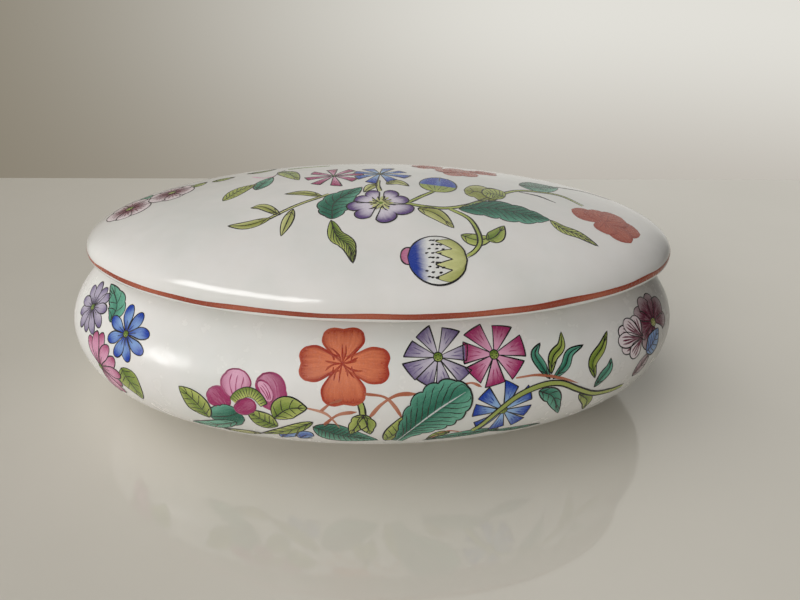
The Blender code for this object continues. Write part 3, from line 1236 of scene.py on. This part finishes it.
def iron_blossom(painter, pixel, petals):
    """Soft round petals in iron red with no dark outline."""
    spot = painter.spot(pixel)
    for index, (degrees, reach, width) in enumerate(petals):
        painter.layer = index % 3
        petal = ray_petal(painter, spot, degrees, -1.6, reach, width, sides=rounded)
        painter.fill("iron", petal, iron_wash)
        for place in THREE_STREAKS:
            painter.line("iron", petal, along=(0.2, 0.7), across=(0.0, place), width=0.34, wash=1.0)
    painter.layer = 0


def ruffled(painter, pixel, pigment, reach, lobes, start, sweep, shade, heart_pigment="olive"):
    """A blossom of lobes spread over part of a turn, each with streaks that run out from its root."""
    spot = painter.spot(pixel)
    for index in range(lobes):
        painter.layer = index % 2
        degrees = start + sweep * (index + 0.5) / lobes
        own_reach = reach * painter.chance.uniform(0.9, 1.05)
        width = own_reach * math.radians(abs(sweep)) / lobes * 1.08
        petal = ray_petal(painter, spot, degrees, own_reach * 0.14, own_reach, width, sides=fanned,
                          cut=round_end)

        def wash(along, across):
            return shade + 1.1 * (1 - along) ** 1.6 + 0.12 * np.abs(across) ** 3

        painter.fill(pigment, petal, wash)
        painter.outline("ink", petal, width=0.38, wash=0.8, steps=25)
        for place in (-0.45, 0.05, 0.5):
            painter.line(pigment, petal, along=(0.1, 0.75), across=(place * 0.3, place), width=0.40, wash=1.0)
    painter.layer = 2
    heart(painter, spot, radius=1.2, pigment=heart_pigment, dots=5)
    painter.layer = 0


def fan_wash(along, across):
    """Deep at the root, and nearly white towards the end."""
    return 1.1 * (1 - along) ** 2.4 + 0.15 * np.abs(across) ** 4 - 0.1


def fan(painter, root_pixel, tip_pixels, width):
    """Near-white lobes spread from one pixel to others, each streaked with mauve from its root."""
    for index, tip in enumerate(tip_pixels):
        painter.layer = 2 + index % 2
        middle = (np.array(root_pixel) + tip) / 2
        lobe = Leaf(painter, [root_pixel, middle, tip], width * MM, club)
        painter.fill("mauve", lobe, fan_wash)
        painter.outline("ink", lobe, width=0.42, wash=0.9)
        for place in THREE_STREAKS:
            painter.line("mauve", lobe, along=(0.10, 0.82), across=(place * 0.3, place), width=0.55, wash=1.0)
    painter.layer = 0


def peony(painter):
    """A loose rose blossom: curled petals round a fringed yellow-green arch."""
    petals = (dict(pixels=[(227, 408), (217, 397), (209, 389)], width=6.4, deep=0.95, layer=0),
              dict(pixels=[(236, 399), (236, 384), (239, 369)], width=8.0, deep=0.25, layer=1),
              dict(pixels=[(270, 410), (271, 392), (263, 374)], width=8.2, deep=0.8, layer=0),
              dict(pixels=[(270, 402), (266, 391), (258, 381)], width=3.2, deep=0.1, layer=1),
              dict(pixels=[(236, 411), (245, 407), (254, 402)], width=4.6, deep=1.0, layer=2))
    for given in petals:
        painter.layer = given["layer"]
        deep = given["deep"]
        petal = Leaf(painter, given["pixels"], given["width"] * MM, oval, waves=2, wave_depth=0.10)

        def wash(along, across):
            return deep * (1.1 - 0.4 * along) + 0.4 * np.abs(across) ** 2 - 0.1

        painter.fill("rose", petal, wash, rows=25)
        painter.outline("rose", petal, width=0.46, wash=1.0, steps=25)
        painter.outline("ink", petal, width=0.22, wash=0.6, steps=25)
        for place in THREE_STREAKS:
            painter.line("rose", petal, along=(0.08, 0.8), across=(place * 0.6, place), width=0.34, wash=0.95,
                         steps=8)
    painter.layer = 2
    arch = Leaf(painter, pixels=[(233, 401), (239, 395), (248, 392), (257, 396), (264, 405)],
                width=2.6 * MM, sides=blunt)
    painter.fill("olive", arch, lambda along, across: 0.45 + 0.4 * across)
    painter.outline("ink", arch, width=0.30, wash=0.7)
    for place in np.linspace(0.06, 0.94, 14):
        painter.line("ink", arch, along=(place, place), across=(-0.9, 0.9), width=0.26, wash=0.7, steps=5)
    painter.layer = 0


class ToothedHalf:
    """The part of a bud to the right of a toothed line."""

    def __init__(self, bud, teeth, near, far):
        self.bud = bud
        self.teeth = teeth
        self.near = near
        self.far = far

    def points(self, along, across):
        along, across = np.broadcast_arrays(np.asarray(along, float), np.asarray(across, float))
        tooth = np.abs((across + 1) / 2 * self.teeth % 1 * 2 - 1)
        start = self.near + (self.far - self.near) * tooth
        return self.bud.points(start + (1 - start) * along, across)


def round_bud(painter, pixel, width, height):
    """A fat bud: a rose tip, deep blue at the left, a white band of seeds, a toothed yellow-green half."""
    spot = painter.spot(pixel)
    tip = Petal(painter, spot, (-width * 0.62 * MM, 0.5 * MM), (-width * 0.36 * MM, 0.5 * MM),
                height * 0.36 * MM, oval)
    painter.fill("rose", tip, lambda along, across: 0.65 - 0.4 * along)
    painter.outline("ink", tip, width=0.5)
    painter.layer = 1
    bud = Petal(painter, spot, (-width / 2 * MM, 0.0), (width / 2 * MM, 0.0), height * MM, oval)
    painter.fill("white", bud, wash=0.1, rows=19, columns=17)
    painter.layer = 2
    painter.fill("indigo", bud, lambda along, across: 1.5 - 3.9 * along - 0.15 * across, rows=19, columns=21,
                 high=(0.44, 1.0))
    half = ToothedHalf(bud, teeth=4, near=0.46, far=0.76)
    painter.fill("yellow", half, lambda along, across: 0.15 + 0.3 * along + 0.35 * across ** 2, rows=11,
                 columns=49)
    painter.outline("ink", bud, width=0.55, wash=1.0, steps=25)
    painter.line("ink", half, along=(0.0, 0.0), across=(-0.97, 0.97), width=0.38, steps=81)
    for row in np.linspace(-0.78, 0.78, 9):
        for place in (0.34, 0.43, 0.52):
            seed = place + 0.05 * math.sin(row * 40 + place * 9)
            painter.line("ink", bud, along=(seed, seed + 0.06), across=(row, row + 0.05), width=0.75,
                         wash=1.0, steps=4)
    painter.layer = 0


def tulip_bud(painter, root_pixel, tip_pixel, width, pigment, cup_share):
    """A small bud between two pixels: an olive cup, a two-lobed cap of pigment above it, a dark outline."""
    bud = Leaf(painter, [root_pixel, tip_pixel], width * MM, oval)
    painter.layer = 1
    painter.fill("olive", bud, lambda along, across: 0.3 + 0.6 * along, rows=11, high=(cup_share, 1.0))
    painter.fill(pigment, bud, lambda along, across: 1.3 - 1.4 * np.abs(np.abs(across) - 0.5), rows=11,
                 columns=17, low=(cup_share, -1.0))
    painter.line("ink", bud, along=(1.0, 0.74), width=0.4, steps=6)
    painter.outline("ink", bud, width=0.48, wash=0.9, steps=19)
    for place in np.linspace(-0.6, 0.6, 4):
        painter.line("ink", bud, along=(0.12, cup_share), across=(place * 0.5, place), width=0.3, wash=0.7,
                     steps=6)
    painter.layer = 0


def double_stem(painter, pixels, width, pigment="olive", steps=60, layer=0):
    """A stem of enamel between two dark lines."""
    painter.layer = layer
    points = painter.path(pixels, steps)
    painter.ribbon(pigment, points, width * MM, 0.45, ends=(0.8, 0.5), top=ENAMEL_RISE)
    normals = painter.normals(points)
    sides = np.cross(normals, unit(np.gradient(points, axis=0)))
    for side in (-1, 1):
        edge = painter.settle(points + sides * side * width * 0.55 * MM, normals)
        painter.ribbon("ink", edge, 0.55 * MM)
    painter.layer = 0


# Sprays on the base, from left to right

def base_left_end(painter):
    painter.leaf("teal", pixels=[(110, 322), (117, 305), (111, 284)], width=6.6, veins=4, waves=4, deep=0.6)
    painter.leaf("olive", pixels=[(121, 368), (129, 381), (143, 399)], width=8.6, veins=4)
    daisy(painter, pixel=(101, 366), pigment="rose", angles=(126, 104, 84, 60, 34, 4, -22, -46, -70),
          reach=9.4, width=3.6, shade=0.3)
    daisy(painter, pixel=(93, 307), pigment="violet", angles=around(11, 80.0), reach=7.4, width=3.0,
          shade=0.44, tip=0.5)
    daisy(painter, pixel=(126, 334), pigment="blue", angles=(104, 66, 14, -27, -72, -108, -152, 155),
          reach=7.6, width=3.2, shade=0.5, tip=0.7)


def base_rose_spray(painter):
    painter.leaf("teal", pixels=[(237, 422), (215, 424), (193, 421)], width=4.4, veins=3, deep=0.5)
    painter.leaf("yellow", pixels=[(262, 433), (243, 431), (224, 428)], width=2.6, veins=2, deep=0.4)
    painter.leaf("olive", pixels=[(209, 417), (196, 402), (179, 386)], width=6.6, veins=5, left=1.1)
    painter.leaf("olive", pixels=[(313, 422), (289, 430), (262, 433)], width=3.6, veins=5)
    painter.layer = 1
    painter.leaf("teal", pixels=[(240, 412), (228, 416), (210, 416)], width=8.4, veins=0, waves=2,
                 depth=0.12, sides=oval, deep=1.1, ink=0.36)
    painter.leaf("olive", pixels=[(278, 426), (263, 420), (247, 410)], width=6.2, veins=5)
    painter.leaf("olive", pixels=[(274, 418), (288, 409), (307, 408)], width=6.0, veins=4, left=1.2)
    painter.layer = 0
    painter.leaf("blue", pixels=[(282, 437), (290, 433), (298, 433)], width=4.6, veins=1)
    painter.leaf("blue", pixels=[(300, 438), (307, 435), (314, 436)], width=4.6, veins=1)
    peony(painter)


def base_coral_spray(painter):
    painter.stroke("sepia", pixels=[(306, 408), (326, 414), (340, 428)], width=0.7, wash=0.6)
    painter.stroke("sepia", pixels=[(324, 425), (338, 415), (357, 412)], width=0.9)
    painter.stroke("sepia", pixels=[(320, 412), (330, 404), (342, 400)], width=0.7)
    painter.stroke("sepia", pixels=[(364, 394), (384, 397), (395, 407), (403, 420)], width=0.8)
    painter.stroke("sepia", pixels=[(370, 417), (382, 404), (398, 395), (418, 394)], width=0.9)
    painter.leaf("teal", pixels=[(313, 427), (340, 435), (378, 440)], width=8.6, veins=10, lean=0.10,
                 deep=1.2)
    double_stem(painter, pixels=[(360, 403), (362, 409), (363, 418)], width=1.3, steps=16)
    painter.layer = 1
    painter.leaf("olive", pixels=[(364, 415), (358, 424), (350, 434)], width=4.6, veins=2, waves=2,
                 depth=0.2)
    painter.leaf("olive", pixels=[(363, 415), (367, 425), (370, 434)], width=4.6, veins=2, waves=2,
                 depth=0.2)
    painter.layer = 0
    coral_blossom(painter, pixel=(342.5, 363.5))


def base_pinwheel_spray(painter):
    painter.stroke("sepia", pixels=[(462, 385), (472, 383), (482, 387)], width=0.6)
    painter.stroke("sepia", pixels=[(516, 378), (538, 375), (561, 378), (578, 383)], width=0.7)
    painter.leaf("teal", pixels=[(499, 428), (462, 434), (423, 440)], width=3.8, veins=5, deep=0.7)
    painter.leaf("teal", pixels=[(540, 423), (515, 428), (488, 431)], width=2.8, veins=4, deep=0.7)
    painter.leaf("olive", pixels=[(450, 432), (438, 434), (426, 439)], width=2.6, veins=3)
    painter.stroke("sepia", pixels=[(430, 438), (446, 431), (462, 432)], width=0.5)
    pinwheel(painter, pixel=(494, 354.5), pigment="rose", angles=(64, 10, -38, -94, -143, 170, 123),
             reach=7.9, width=5.2)
    pinwheel(painter, pixel=(438, 357), pigment="violet", angles=(60, 6, -38, -81, -121, -157, 161, 116),
             reach=7.8, width=4.5, deep=0.76)
    pinwheel(painter, pixel=(503, 410), pigment="blue", angles=(133, 74, 30, -14, -50, -95, -140, 172),
             reach=7.8, width=4.0)
    painter.layer = 3
    painter.leaf("olive", pixels=[(385, 440), (399, 430), (411, 412)], width=6.0, veins=5, deep=0.6)
    painter.layer = 4
    painter.leaf("teal", pixels=[(397, 440), (414, 427), (440, 408), (470, 389)], width=14.0, veins=9,
                 waves=7, depth=0.12, rib="white", deep=1.1, sides=club, lean=0.24)
    double_stem(painter, width=1.3, layer=3,
                pixels=[(472, 430), (482, 424), (499, 410), (519, 395), (542, 385), (561, 383), (578, 389),
                        (593, 393), (610, 390), (622, 385)])
    painter.leaf("teal", pixels=[(550, 379), (542, 366), (535, 354), (540, 343)], width=2.5, veins=1)
    painter.leaf("teal", pixels=[(553, 379), (565, 366), (570, 353), (583, 345)], width=2.6, veins=1)
    painter.layer = 1
    painter.leaf("olive", pixels=[(551, 374), (553, 357), (561, 346), (561, 332)], width=2.6, veins=1)
    painter.leaf("teal", pixels=[(594, 387), (602, 377), (609, 368), (611, 358)], width=3.0, veins=2)
    painter.layer = 0
    painter.leaf("olive", pixels=[(595, 378), (593, 362), (602, 347), (607, 331)], width=2.9, veins=2)
    painter.leaf("teal", pixels=[(539, 391), (553, 397), (558, 413)], width=4.6, veins=4, waves=2)
    painter.leaf("olive", pixels=[(579, 394), (587, 400), (583, 409)], width=3.4, veins=2)


def base_right_end(painter):
    painter.leaf("mauve", pixels=[(632, 376), (642, 364), (650, 352)], width=4.6, veins=3)
    ruffled(painter, pixel=(653, 322), pigment="mauve", reach=8.8, lobes=8, start=-30, sweep=300,
            heart_pigment="yellow", shade=0.5)
    painter.layer = 2
    painter.leaf("blue", pixels=[(646, 352), (653, 342), (658, 328)], width=6.4, veins=5, deep=0.6, ink=0.5)
    fan(painter, root_pixel=(642, 337), width=4.2,
        tip_pixels=[(632, 316), (623, 321), (618, 331), (618, 342), (622, 351), (631, 358)])


# Sprays on the lid, from left to right

def lid_left_end(painter):
    painter.leaf("teal", pixels=[(140, 201), (153, 195)], width=4.0, veins=2)
    painter.leaf("olive", pixels=[(190, 188), (207, 182)], width=4.0, veins=2)
    painter.leaf("olive", pixels=[(212, 182), (235, 177)], width=3.8, veins=2)
    ruffled(painter, pixel=(130, 209), pigment="mauve", reach=7.0, lobes=6, start=0, sweep=360, shade=0.1)
    ruffled(painter, pixel=(172, 193), pigment="mauve", reach=7.2, lobes=6, start=20, sweep=360, shade=0.1)
    painter.leaf("olive", pixels=[(247, 174), (262, 172), (277, 169)], width=3.2, veins=2)
    painter.stroke("rose", pixels=[(252, 177), (264, 178), (276, 176)], width=0.5, wash=0.4)
    painter.stroke("olive", pixels=[(288, 169.5), (308, 167.5), (330, 166)], width=1.5)
    painter.leaf("olive", pixels=[(223, 201), (239, 191), (257, 184)], width=4.8, veins=7, deep=0.45)
    painter.leaf("teal", pixels=[(256, 190), (264, 183), (273, 177)], width=4.8, veins=3)
    painter.stroke("ink", pixels=[(272, 178), (279, 173), (286, 170)], width=0.5)
    painter.leaf("olive", pixels=[(279, 172), (289, 174), (299, 180)], width=5.2, veins=3)
    double_stem(painter, pixels=[(329, 194), (300, 204), (278, 214), (266, 220)], width=0.8,
                pigment="yellow")
    painter.leaf("yellow", pixels=[(271, 218), (248, 225), (228, 226)], width=3.3, veins=1)
    painter.leaf("yellow", pixels=[(280, 215), (264, 207), (251, 208)], width=2.8, veins=1)
    painter.leaf("yellow", pixels=[(293, 209), (287, 222), (281, 236)], width=2.9, veins=1)
    painter.leaf("yellow", pixels=[(322, 196), (304, 193), (285, 194)], width=2.6, veins=1)


def lid_plum_spray(painter):
    pinwheel(painter, pixel=(334, 176), pigment="rose", angles=around(8, 10.0), reach=8.0, width=3.0,
             middle=0.7, ink=0.5)
    pinwheel(painter, pixel=(380, 174), pigment="blue", angles=around(8, 30.0), reach=8.2, width=3.4,
             middle=0.7, ink=0.5)
    double_stem(painter, pixels=[(378, 180), (378, 186), (380, 191)], width=1.0, pigment="yellow", steps=14)
    painter.leaf("yellow", pixels=[(386, 184), (397, 182), (409, 186)], width=3.2, veins=1)
    painter.leaf("yellow", pixels=[(377, 184), (370, 187), (364, 192)], width=2.8, veins=1)
    painter.leaf("teal", pixels=[(332, 219), (335, 202), (362, 187)], width=9.6, veins=6, waves=5,
                 deep=1.05, left=0.9, right=1.05)
    painter.leaf("olive", pixels=[(331, 220), (337, 236), (349, 246), (353, 263)], width=4.6, veins=8,
                 waves=2, deep=1.0, lean=0.26)
    plum_blossom(painter, pixel=(380.8, 203.2))


def small_iron_blossom(painter, pixel, reach):
    iron_blossom(painter, pixel, [(degrees, reach, reach * 0.9) for degrees in around(5, 30.0)])


def lid_bud_spray(painter):
    painter.leaf("teal", pixels=[(519, 185), (538, 187), (558, 188)], width=9.5, veins=3, deep=1.3)
    painter.stroke("ink", pixels=[(556, 187), (584, 192), (610, 200)], width=1.2)
    painter.stroke("ink", pixels=[(519, 192), (538, 196), (556, 203)], width=0.9)
    small_iron_blossom(painter, pixel=(428, 167), reach=5.4)
    small_iron_blossom(painter, pixel=(458, 172), reach=7.2)
    small_iron_blossom(painter, pixel=(484, 173), reach=4.6)
    double_stem(painter, width=1.0,
                pixels=[(406, 203), (422, 206), (445, 208), (468, 205), (493, 197), (515, 191), (538, 192),
                        (561, 196), (583, 206)])
    double_stem(painter, pixels=[(409, 202), (420, 197), (434, 191)], width=0.9, steps=20)
    tulip_bud(painter, root_pixel=(436, 192), tip_pixel=(440, 178), width=10.5, pigment="blue",
              cup_share=0.45)
    painter.leaf("yellow", pixels=[(500, 198), (484, 193), (464, 190)], width=11.0, veins=2, waves=2,
                 sides=oval, deep=1.3, depth=0.22)
    painter.layer = 1
    painter.leaf("olive", pixels=[(505, 197), (494, 194), (482, 193)], width=7.5, veins=6, sides=oval,
                 deep=0.6)
    painter.layer = 0
    painter.leaf("yellow", pixels=[(418, 208), (436, 214), (454, 228)], width=4.6, veins=2)
    painter.leaf("teal", pixels=[(459, 209), (493, 208), (527, 215), (550, 220)], width=11.0, veins=9,
                 waves=5, deep=1.3, left=0.8)
    painter.leaf("olive", pixels=[(550, 220), (563, 229), (579, 235), (598, 246)], width=3.5, veins=8,
                 deep=0.5, ink=0.5)
    double_stem(painter, pixels=[(450, 209), (468, 218), (477, 230), (480, 242), (475, 251), (466, 257)],
                width=1.0, layer=1)
    painter.leaf("olive", pixels=[(461, 235), (477, 240), (493, 237)], width=4.4, veins=2, deep=0.6)
    painter.layer = 1
    painter.leaf("olive", pixels=[(487, 240), (496, 236), (504, 226)], width=4.4, veins=2, deep=0.9)
    painter.layer = 0
    round_bud(painter, pixel=(437.5, 258.5), width=14.6, height=15.6)
    iron_blossom(painter, pixel=(604, 222),
                 petals=[(155, 9.6, 8.0), (105, 7.0, 8.4), (40, 8.6, 8.6), (-8, 10.8, 8.6), (-50, 9.8, 8.0),
                         (-95, 6.4, 7.0)])


# Rim line

RIM_LINE_STEPS = 1081
RIM_LINE_ACROSS = np.array((-1.0, -0.8, -0.4, 0.0, 0.4, 0.8, 1.0))
RIM_LINE_TOP = np.array((-0.3, 0.8, 1.0, 1.0, 1.0, 0.8, -0.3))
RIM_LINE_STREAKS = 0.6
RIM_LINE_TURN = 14           # streaks along the line, for each radian round the lid

# How unsteady the hand was: each row has a size, the waves round the lid and where they start in radians
WIDTH_WAVERS = ((0.10, 5, 0.7), (0.07, 13, 2.1), (0.04, 31, 0.0))
HEIGHT_WAVERS = ((0.12 * MM, 7, 1.0), (0.08 * MM, 19, 0.0))
WASH_WAVERS = ((0.14, 17, 0.0),)


def waver(angles, rows):
    """The waves of some rows, added up."""
    return sum(size * np.sin(angles * waves + start) for size, waves, start in rows)


def rim_line(form):
    """The hand-drawn coral line round the lid, just above its lip: broader at the right and front."""
    size = sizes()
    angles = np.linspace(0.0, 2 * math.pi, RIM_LINE_STEPS)
    broad = 0.98 + 0.32 * np.cos(angles + 0.75) + waver(angles, WIDTH_WAVERS)
    low = size.line_low + waver(angles, HEIGHT_WAVERS)
    across = RIM_LINE_ACROSS[None, :]
    heights = low[:, None] + size.line_width * broad[:, None] * (across + 1) / 2
    reach = form.reach(heights)
    points = np.stack([form.half_length * reach * np.cos(angles)[:, None],
                       form.half_width * reach * np.sin(angles)[:, None], heights], axis=-1)
    painter = Painter(form)
    points = points + painter.normals(points) * (RIM_LINE_TOP * INK_RISE)[None, :, None]
    wash = 0.62 + 0.3 * across ** 2 + waver(angles, WASH_WAVERS)[:, None]
    pot = painter.pot("line")
    pot.lay(points, wash, *np.broadcast_arrays(angles[:, None] * RIM_LINE_TURN, across))
    piece = add_piece(pot.mesh("lid_rim_line", form), form)
    piece.data.materials.append(enamel_material("rim_line_enamel", "line", RIM_LINE_STREAKS))


# Stage

TABLE_REACH = 1.5
TABLE_BACK_EDGE = 0.196
TABLE_CLOUD_SCALE = 9.0
TABLE_CLOUD_TINT = np.array((0.95, 0.95, 0.94, 1.0))


def table_material():
    """Pale and faintly cloudy, with a glossy coat that mirrors the box."""
    material = bpy.data.materials.new("pale_table")
    material.use_nodes = True
    tree = material.node_tree
    shader = tree.nodes["Principled BSDF"]
    place = add_node(tree, "ShaderNodeTexCoord")
    cloud = noise(tree, place.outputs["Object"], TABLE_CLOUD_SCALE, detail=3.0, roughness=0.5)
    pale = np.array(paint_colour("table"))
    tint = mix_colours(tree, spread(tree, cloud, low=0.3, high=0.7), pale, pale * TABLE_CLOUD_TINT)
    tree.links.new(tint, shader.inputs["Base Color"])
    for socket, value in (("Roughness", 0.45), ("Coat Weight", 1.0), ("Coat IOR", 1.75),
                          ("Coat Roughness", 0.06)):
        shader.inputs[socket].default_value = value
    return material


def add_table():
    """A pale table top that ends a little behind the box."""
    points = [(-TABLE_REACH, -TABLE_REACH, 0.0), (TABLE_REACH, -TABLE_REACH, 0.0),
              (TABLE_REACH, TABLE_BACK_EDGE, 0.0), (-TABLE_REACH, TABLE_BACK_EDGE, 0.0)]
    mesh = bpy.data.meshes.new("pale_table")
    mesh.from_pydata(points, [], [(0, 1, 2, 3)])
    table = bpy.data.objects.new("pale_table", mesh)
    bpy.context.scene.collection.objects.link(table)
    mesh.materials.append(table_material())


# Daylight: where each part comes from, the cosine at its edge and the strength at its middle
WINDOW = dict(towards=(-0.52, -0.78, 0.35), edge=0.88, strength=4.4)
SKYLIGHT = dict(towards=(-0.52, -0.06, 0.85), edge=0.75, strength=2.2)
DAYLIGHT_COLOUR = (1.0, 0.99, 0.975, 1.0)


def daylight_lobe(tree, direction, towards, edge, strength):
    """Light that comes from around one direction and fades out at an edge."""
    facing = add_node(tree, "ShaderNodeVectorMath", {1: unit(np.array(towards))}, operation="DOT_PRODUCT")
    tree.links.new(direction, facing.inputs[0])
    return spread(tree, facing.outputs["Value"], low=edge, high=1.0, to_low=0.0, to_high=strength)


def wall_colour(tree, parts):
    """The wall behind the table, with painted shade: darker towards its left end and near the table."""
    from_left = sums(tree, "MAXIMUM", spread(tree, parts.outputs["X"], low=-0.65, high=0.25),
                     spread(tree, parts.outputs["X"], low=-0.66, high=-0.9))
    # Painted shade: the wall darkens towards the table.
    from_low = spread(tree, parts.outputs["Z"], low=-0.36, high=-0.10)
    tall = mix_colours(tree, from_low, paint_colour("wall_low"), paint_colour("wall"))
    return mix_colours(tree, from_left, paint_colour("wall_shade"), tall)


def add_world():
    """Soft daylight from the window's side for matt surfaces, and a pale wall for the camera and gloss."""
    world = bpy.data.worlds.new("studio")
    world.use_nodes = True
    tree = world.node_tree
    direction = add_node(tree, "ShaderNodeTexCoord").outputs["Generated"]
    daylight = sums(tree, "ADD", daylight_lobe(tree, direction, **WINDOW),
                    daylight_lobe(tree, direction, **SKYLIGHT))
    light = tree.nodes["Background"]
    light.inputs["Color"].default_value = DAYLIGHT_COLOUR
    tree.links.new(daylight, light.inputs["Strength"])
    parts = add_node(tree, "ShaderNodeSeparateXYZ")
    tree.links.new(direction, parts.inputs[0])
    shown = add_node(tree, "ShaderNodeBackground")
    tree.links.new(wall_colour(tree, parts), shown.inputs["Color"])
    path = add_node(tree, "ShaderNodeLightPath")
    behind = spread(tree, parts.outputs["Y"], low=-0.1, high=0.6, to_low=0.45, to_high=1.0)
    beside = spread(tree, parts.outputs["X"], low=0.52, high=0.85, to_low=1.0, to_high=0.12)
    mirrored = sums(tree, "MULTIPLY", behind, beside)
    tree.links.new(sums(tree, "MAXIMUM", mirrored, path.outputs["Is Camera Ray"]), shown.inputs["Strength"])
    seen = sums(tree, "MAXIMUM", path.outputs["Is Camera Ray"], path.outputs["Is Transmission Ray"])
    seen = sums(tree, "MAXIMUM", seen, path.outputs["Is Glossy Ray"])
    choice = add_node(tree, "ShaderNodeMixShader")
    tree.links.new(seen, choice.inputs[0])
    tree.links.new(light.outputs[0], choice.inputs[1])
    tree.links.new(shown.outputs[0], choice.inputs[2])
    tree.links.new(choice.outputs[0], tree.nodes["World Output"].inputs["Surface"])
    bpy.context.scene.world = world


LAMP_DISTANCE = 1.0
LAMP_TARGET = np.array((0.0, 0.0, 0.03))     # a point inside the box that the lamps face


def lit_pieces(body):
    """A collection of one body's pieces, so that a lamp's glare stays off the other and off the table."""
    lit = bpy.data.collections.new(f"lit_{body}")
    for piece in bpy.context.scene.objects:
        if piece.name.startswith(body):
            lit.objects.link(piece)
    return lit


def add_lamp(name, direction, width, height, power, body):
    """A rectangular lamp that faces the box and makes highlights alone, on one body's pieces."""
    lamp = bpy.data.lights.new(name, "AREA")
    lamp.use_nodes = True
    tree = lamp.node_tree
    path = add_node(tree, "ShaderNodeLightPath")
    straight = spread(tree, path.outputs["Diffuse Depth"], low=0.0, high=1.0, to_low=1.0, to_high=0.0)
    tree.links.new(straight, tree.nodes["Emission"].inputs["Strength"])
    lamp.shape = "RECTANGLE"
    lamp.size = width
    lamp.size_y = height
    lamp.energy = power
    item = bpy.data.objects.new(name, lamp)
    bpy.context.scene.collection.objects.link(item)
    item.light_linking.receiver_collection = lit_pieces(body)
    item.visible_diffuse = False
    back = unit(np.array(direction, float))
    right = unit(np.cross(UP, back))
    place = back * LAMP_DISTANCE + LAMP_TARGET
    item.matrix_world = frame_matrix(right, np.cross(back, right), back, place)


def frame_matrix(right, up, back, place):
    """The matrix of a lamp or camera from its axes and its place."""
    matrix = Matrix.Identity(4)
    for column, axis in enumerate((right, up, back, place)):
        for row in range(3):
            matrix[row][column] = axis[row]
    return matrix


def add_camera():
    seen = PhotoCamera()
    data = bpy.data.cameras.new("photo_camera")
    data.sensor_fit = "HORIZONTAL"
    data.angle = view().field
    data.clip_start = 0.01
    camera = bpy.data.objects.new("photo_camera", data)
    bpy.context.scene.collection.objects.link(camera)
    camera.matrix_world = frame_matrix(seen.right, seen.up, -seen.forward, seen.place)
    bpy.context.scene.camera = camera


# Operators

class PieceOperator:
    """What all the steps share."""
    bl_options = {"REGISTER", "UNDO"}


class TRINKET_OT_base_shell(PieceOperator, bpy.types.Operator):
    """Make the glazed base with its ledge, collar and foot ring"""
    bl_idname = "trinket.base_shell"
    bl_label = "Base Shell"

    def execute(self, context):
        base_shell()
        return {"FINISHED"}


class TRINKET_OT_lid_shell(PieceOperator, bpy.types.Operator):
    """Make the glazed domed lid"""
    bl_idname = "trinket.lid_shell"
    bl_label = "Lid Shell"

    def execute(self, context):
        lid_shell()
        return {"FINISHED"}


class TRINKET_OT_rim_line(PieceOperator, bpy.types.Operator):
    """Paint the coral line round the lid's edge"""
    bl_idname = "trinket.rim_line"
    bl_label = "Rim Line"

    def execute(self, context):
        rim_line(LidForm())
        return {"FINISHED"}


class TRINKET_OT_base_sprays(PieceOperator, bpy.types.Operator):
    """Paint the flower sprays round the base"""
    bl_idname = "trinket.base_sprays"
    bl_label = "Base Sprays"

    def execute(self, context):
        painter = Painter(BaseForm())
        for spray in (base_left_end, base_rose_spray, base_coral_spray, base_pinwheel_spray, base_right_end):
            spray(painter)
        behind = Painter(BaseForm())
        for spray in (base_rose_spray, base_coral_spray, base_pinwheel_spray):
            spray(behind)
        painter.take_half_turn(behind)
        painter.pieces()
        return {"FINISHED"}


class TRINKET_OT_lid_sprays(PieceOperator, bpy.types.Operator):
    """Paint the flower sprays over the lid"""
    bl_idname = "trinket.lid_sprays"
    bl_label = "Lid Sprays"

    def execute(self, context):
        painter = Painter(LidForm())
        for spray in (lid_left_end, lid_plum_spray, lid_bud_spray):
            spray(painter)
        painter.pieces()
        return {"FINISHED"}


class TRINKET_OT_stage(PieceOperator, bpy.types.Operator):
    """Set up the pale table, the soft light and the camera"""
    bl_idname = "trinket.stage"
    bl_label = "Stage"

    def execute(self, context):
        add_lamp("window_band", direction=(-0.58, -0.52, 0.63), width=0.72, height=0.20, power=2.5,
                 body="lid")
        add_lamp("window_pane", direction=(-0.86, -0.49, 0.22), width=0.20, height=0.20, power=1.5,
                 body="base")
        add_table()
        add_world()
        add_camera()
        bpy.context.scene.view_settings.view_transform = "Standard"
        return {"FINISHED"}


class TRINKET_PT_panel(bpy.types.Panel):
    """Lists the steps that make the box"""
    bl_label = "Trinket Box"
    bl_space_type = "VIEW_3D"
    bl_region_type = "UI"
    bl_category = "Trinket Box"

    def draw(self, context):
        for operator in OPERATORS:
            self.layout.operator(operator.bl_idname)


OPERATORS = (TRINKET_OT_base_shell, TRINKET_OT_lid_shell, TRINKET_OT_rim_line, TRINKET_OT_base_sprays,
             TRINKET_OT_lid_sprays, TRINKET_OT_stage)
GROUPS = {"trinket_sizes": BoxSizes, "trinket_view": PhotoView, "trinket_glazes": Glazes}
CLASSES = (*GROUPS.values(), *OPERATORS, TRINKET_PT_panel)


def register():
    for item in CLASSES:
        bpy.utils.register_class(item)
    for name, group in GROUPS.items():
        setattr(bpy.types.Scene, name, bpy.props.PointerProperty(type=group))


def unregister():
    for name in GROUPS:
        delattr(bpy.types.Scene, name)
    for item in reversed(CLASSES):
        bpy.utils.unregister_class(item)


def main():
    register()
    bpy.ops.trinket.base_shell()
    bpy.ops.trinket.lid_shell()
    bpy.ops.trinket.rim_line()
    bpy.ops.trinket.base_sprays()
    bpy.ops.trinket.lid_sprays()
    bpy.ops.trinket.stage()


if __name__ == "__main__":
    main()
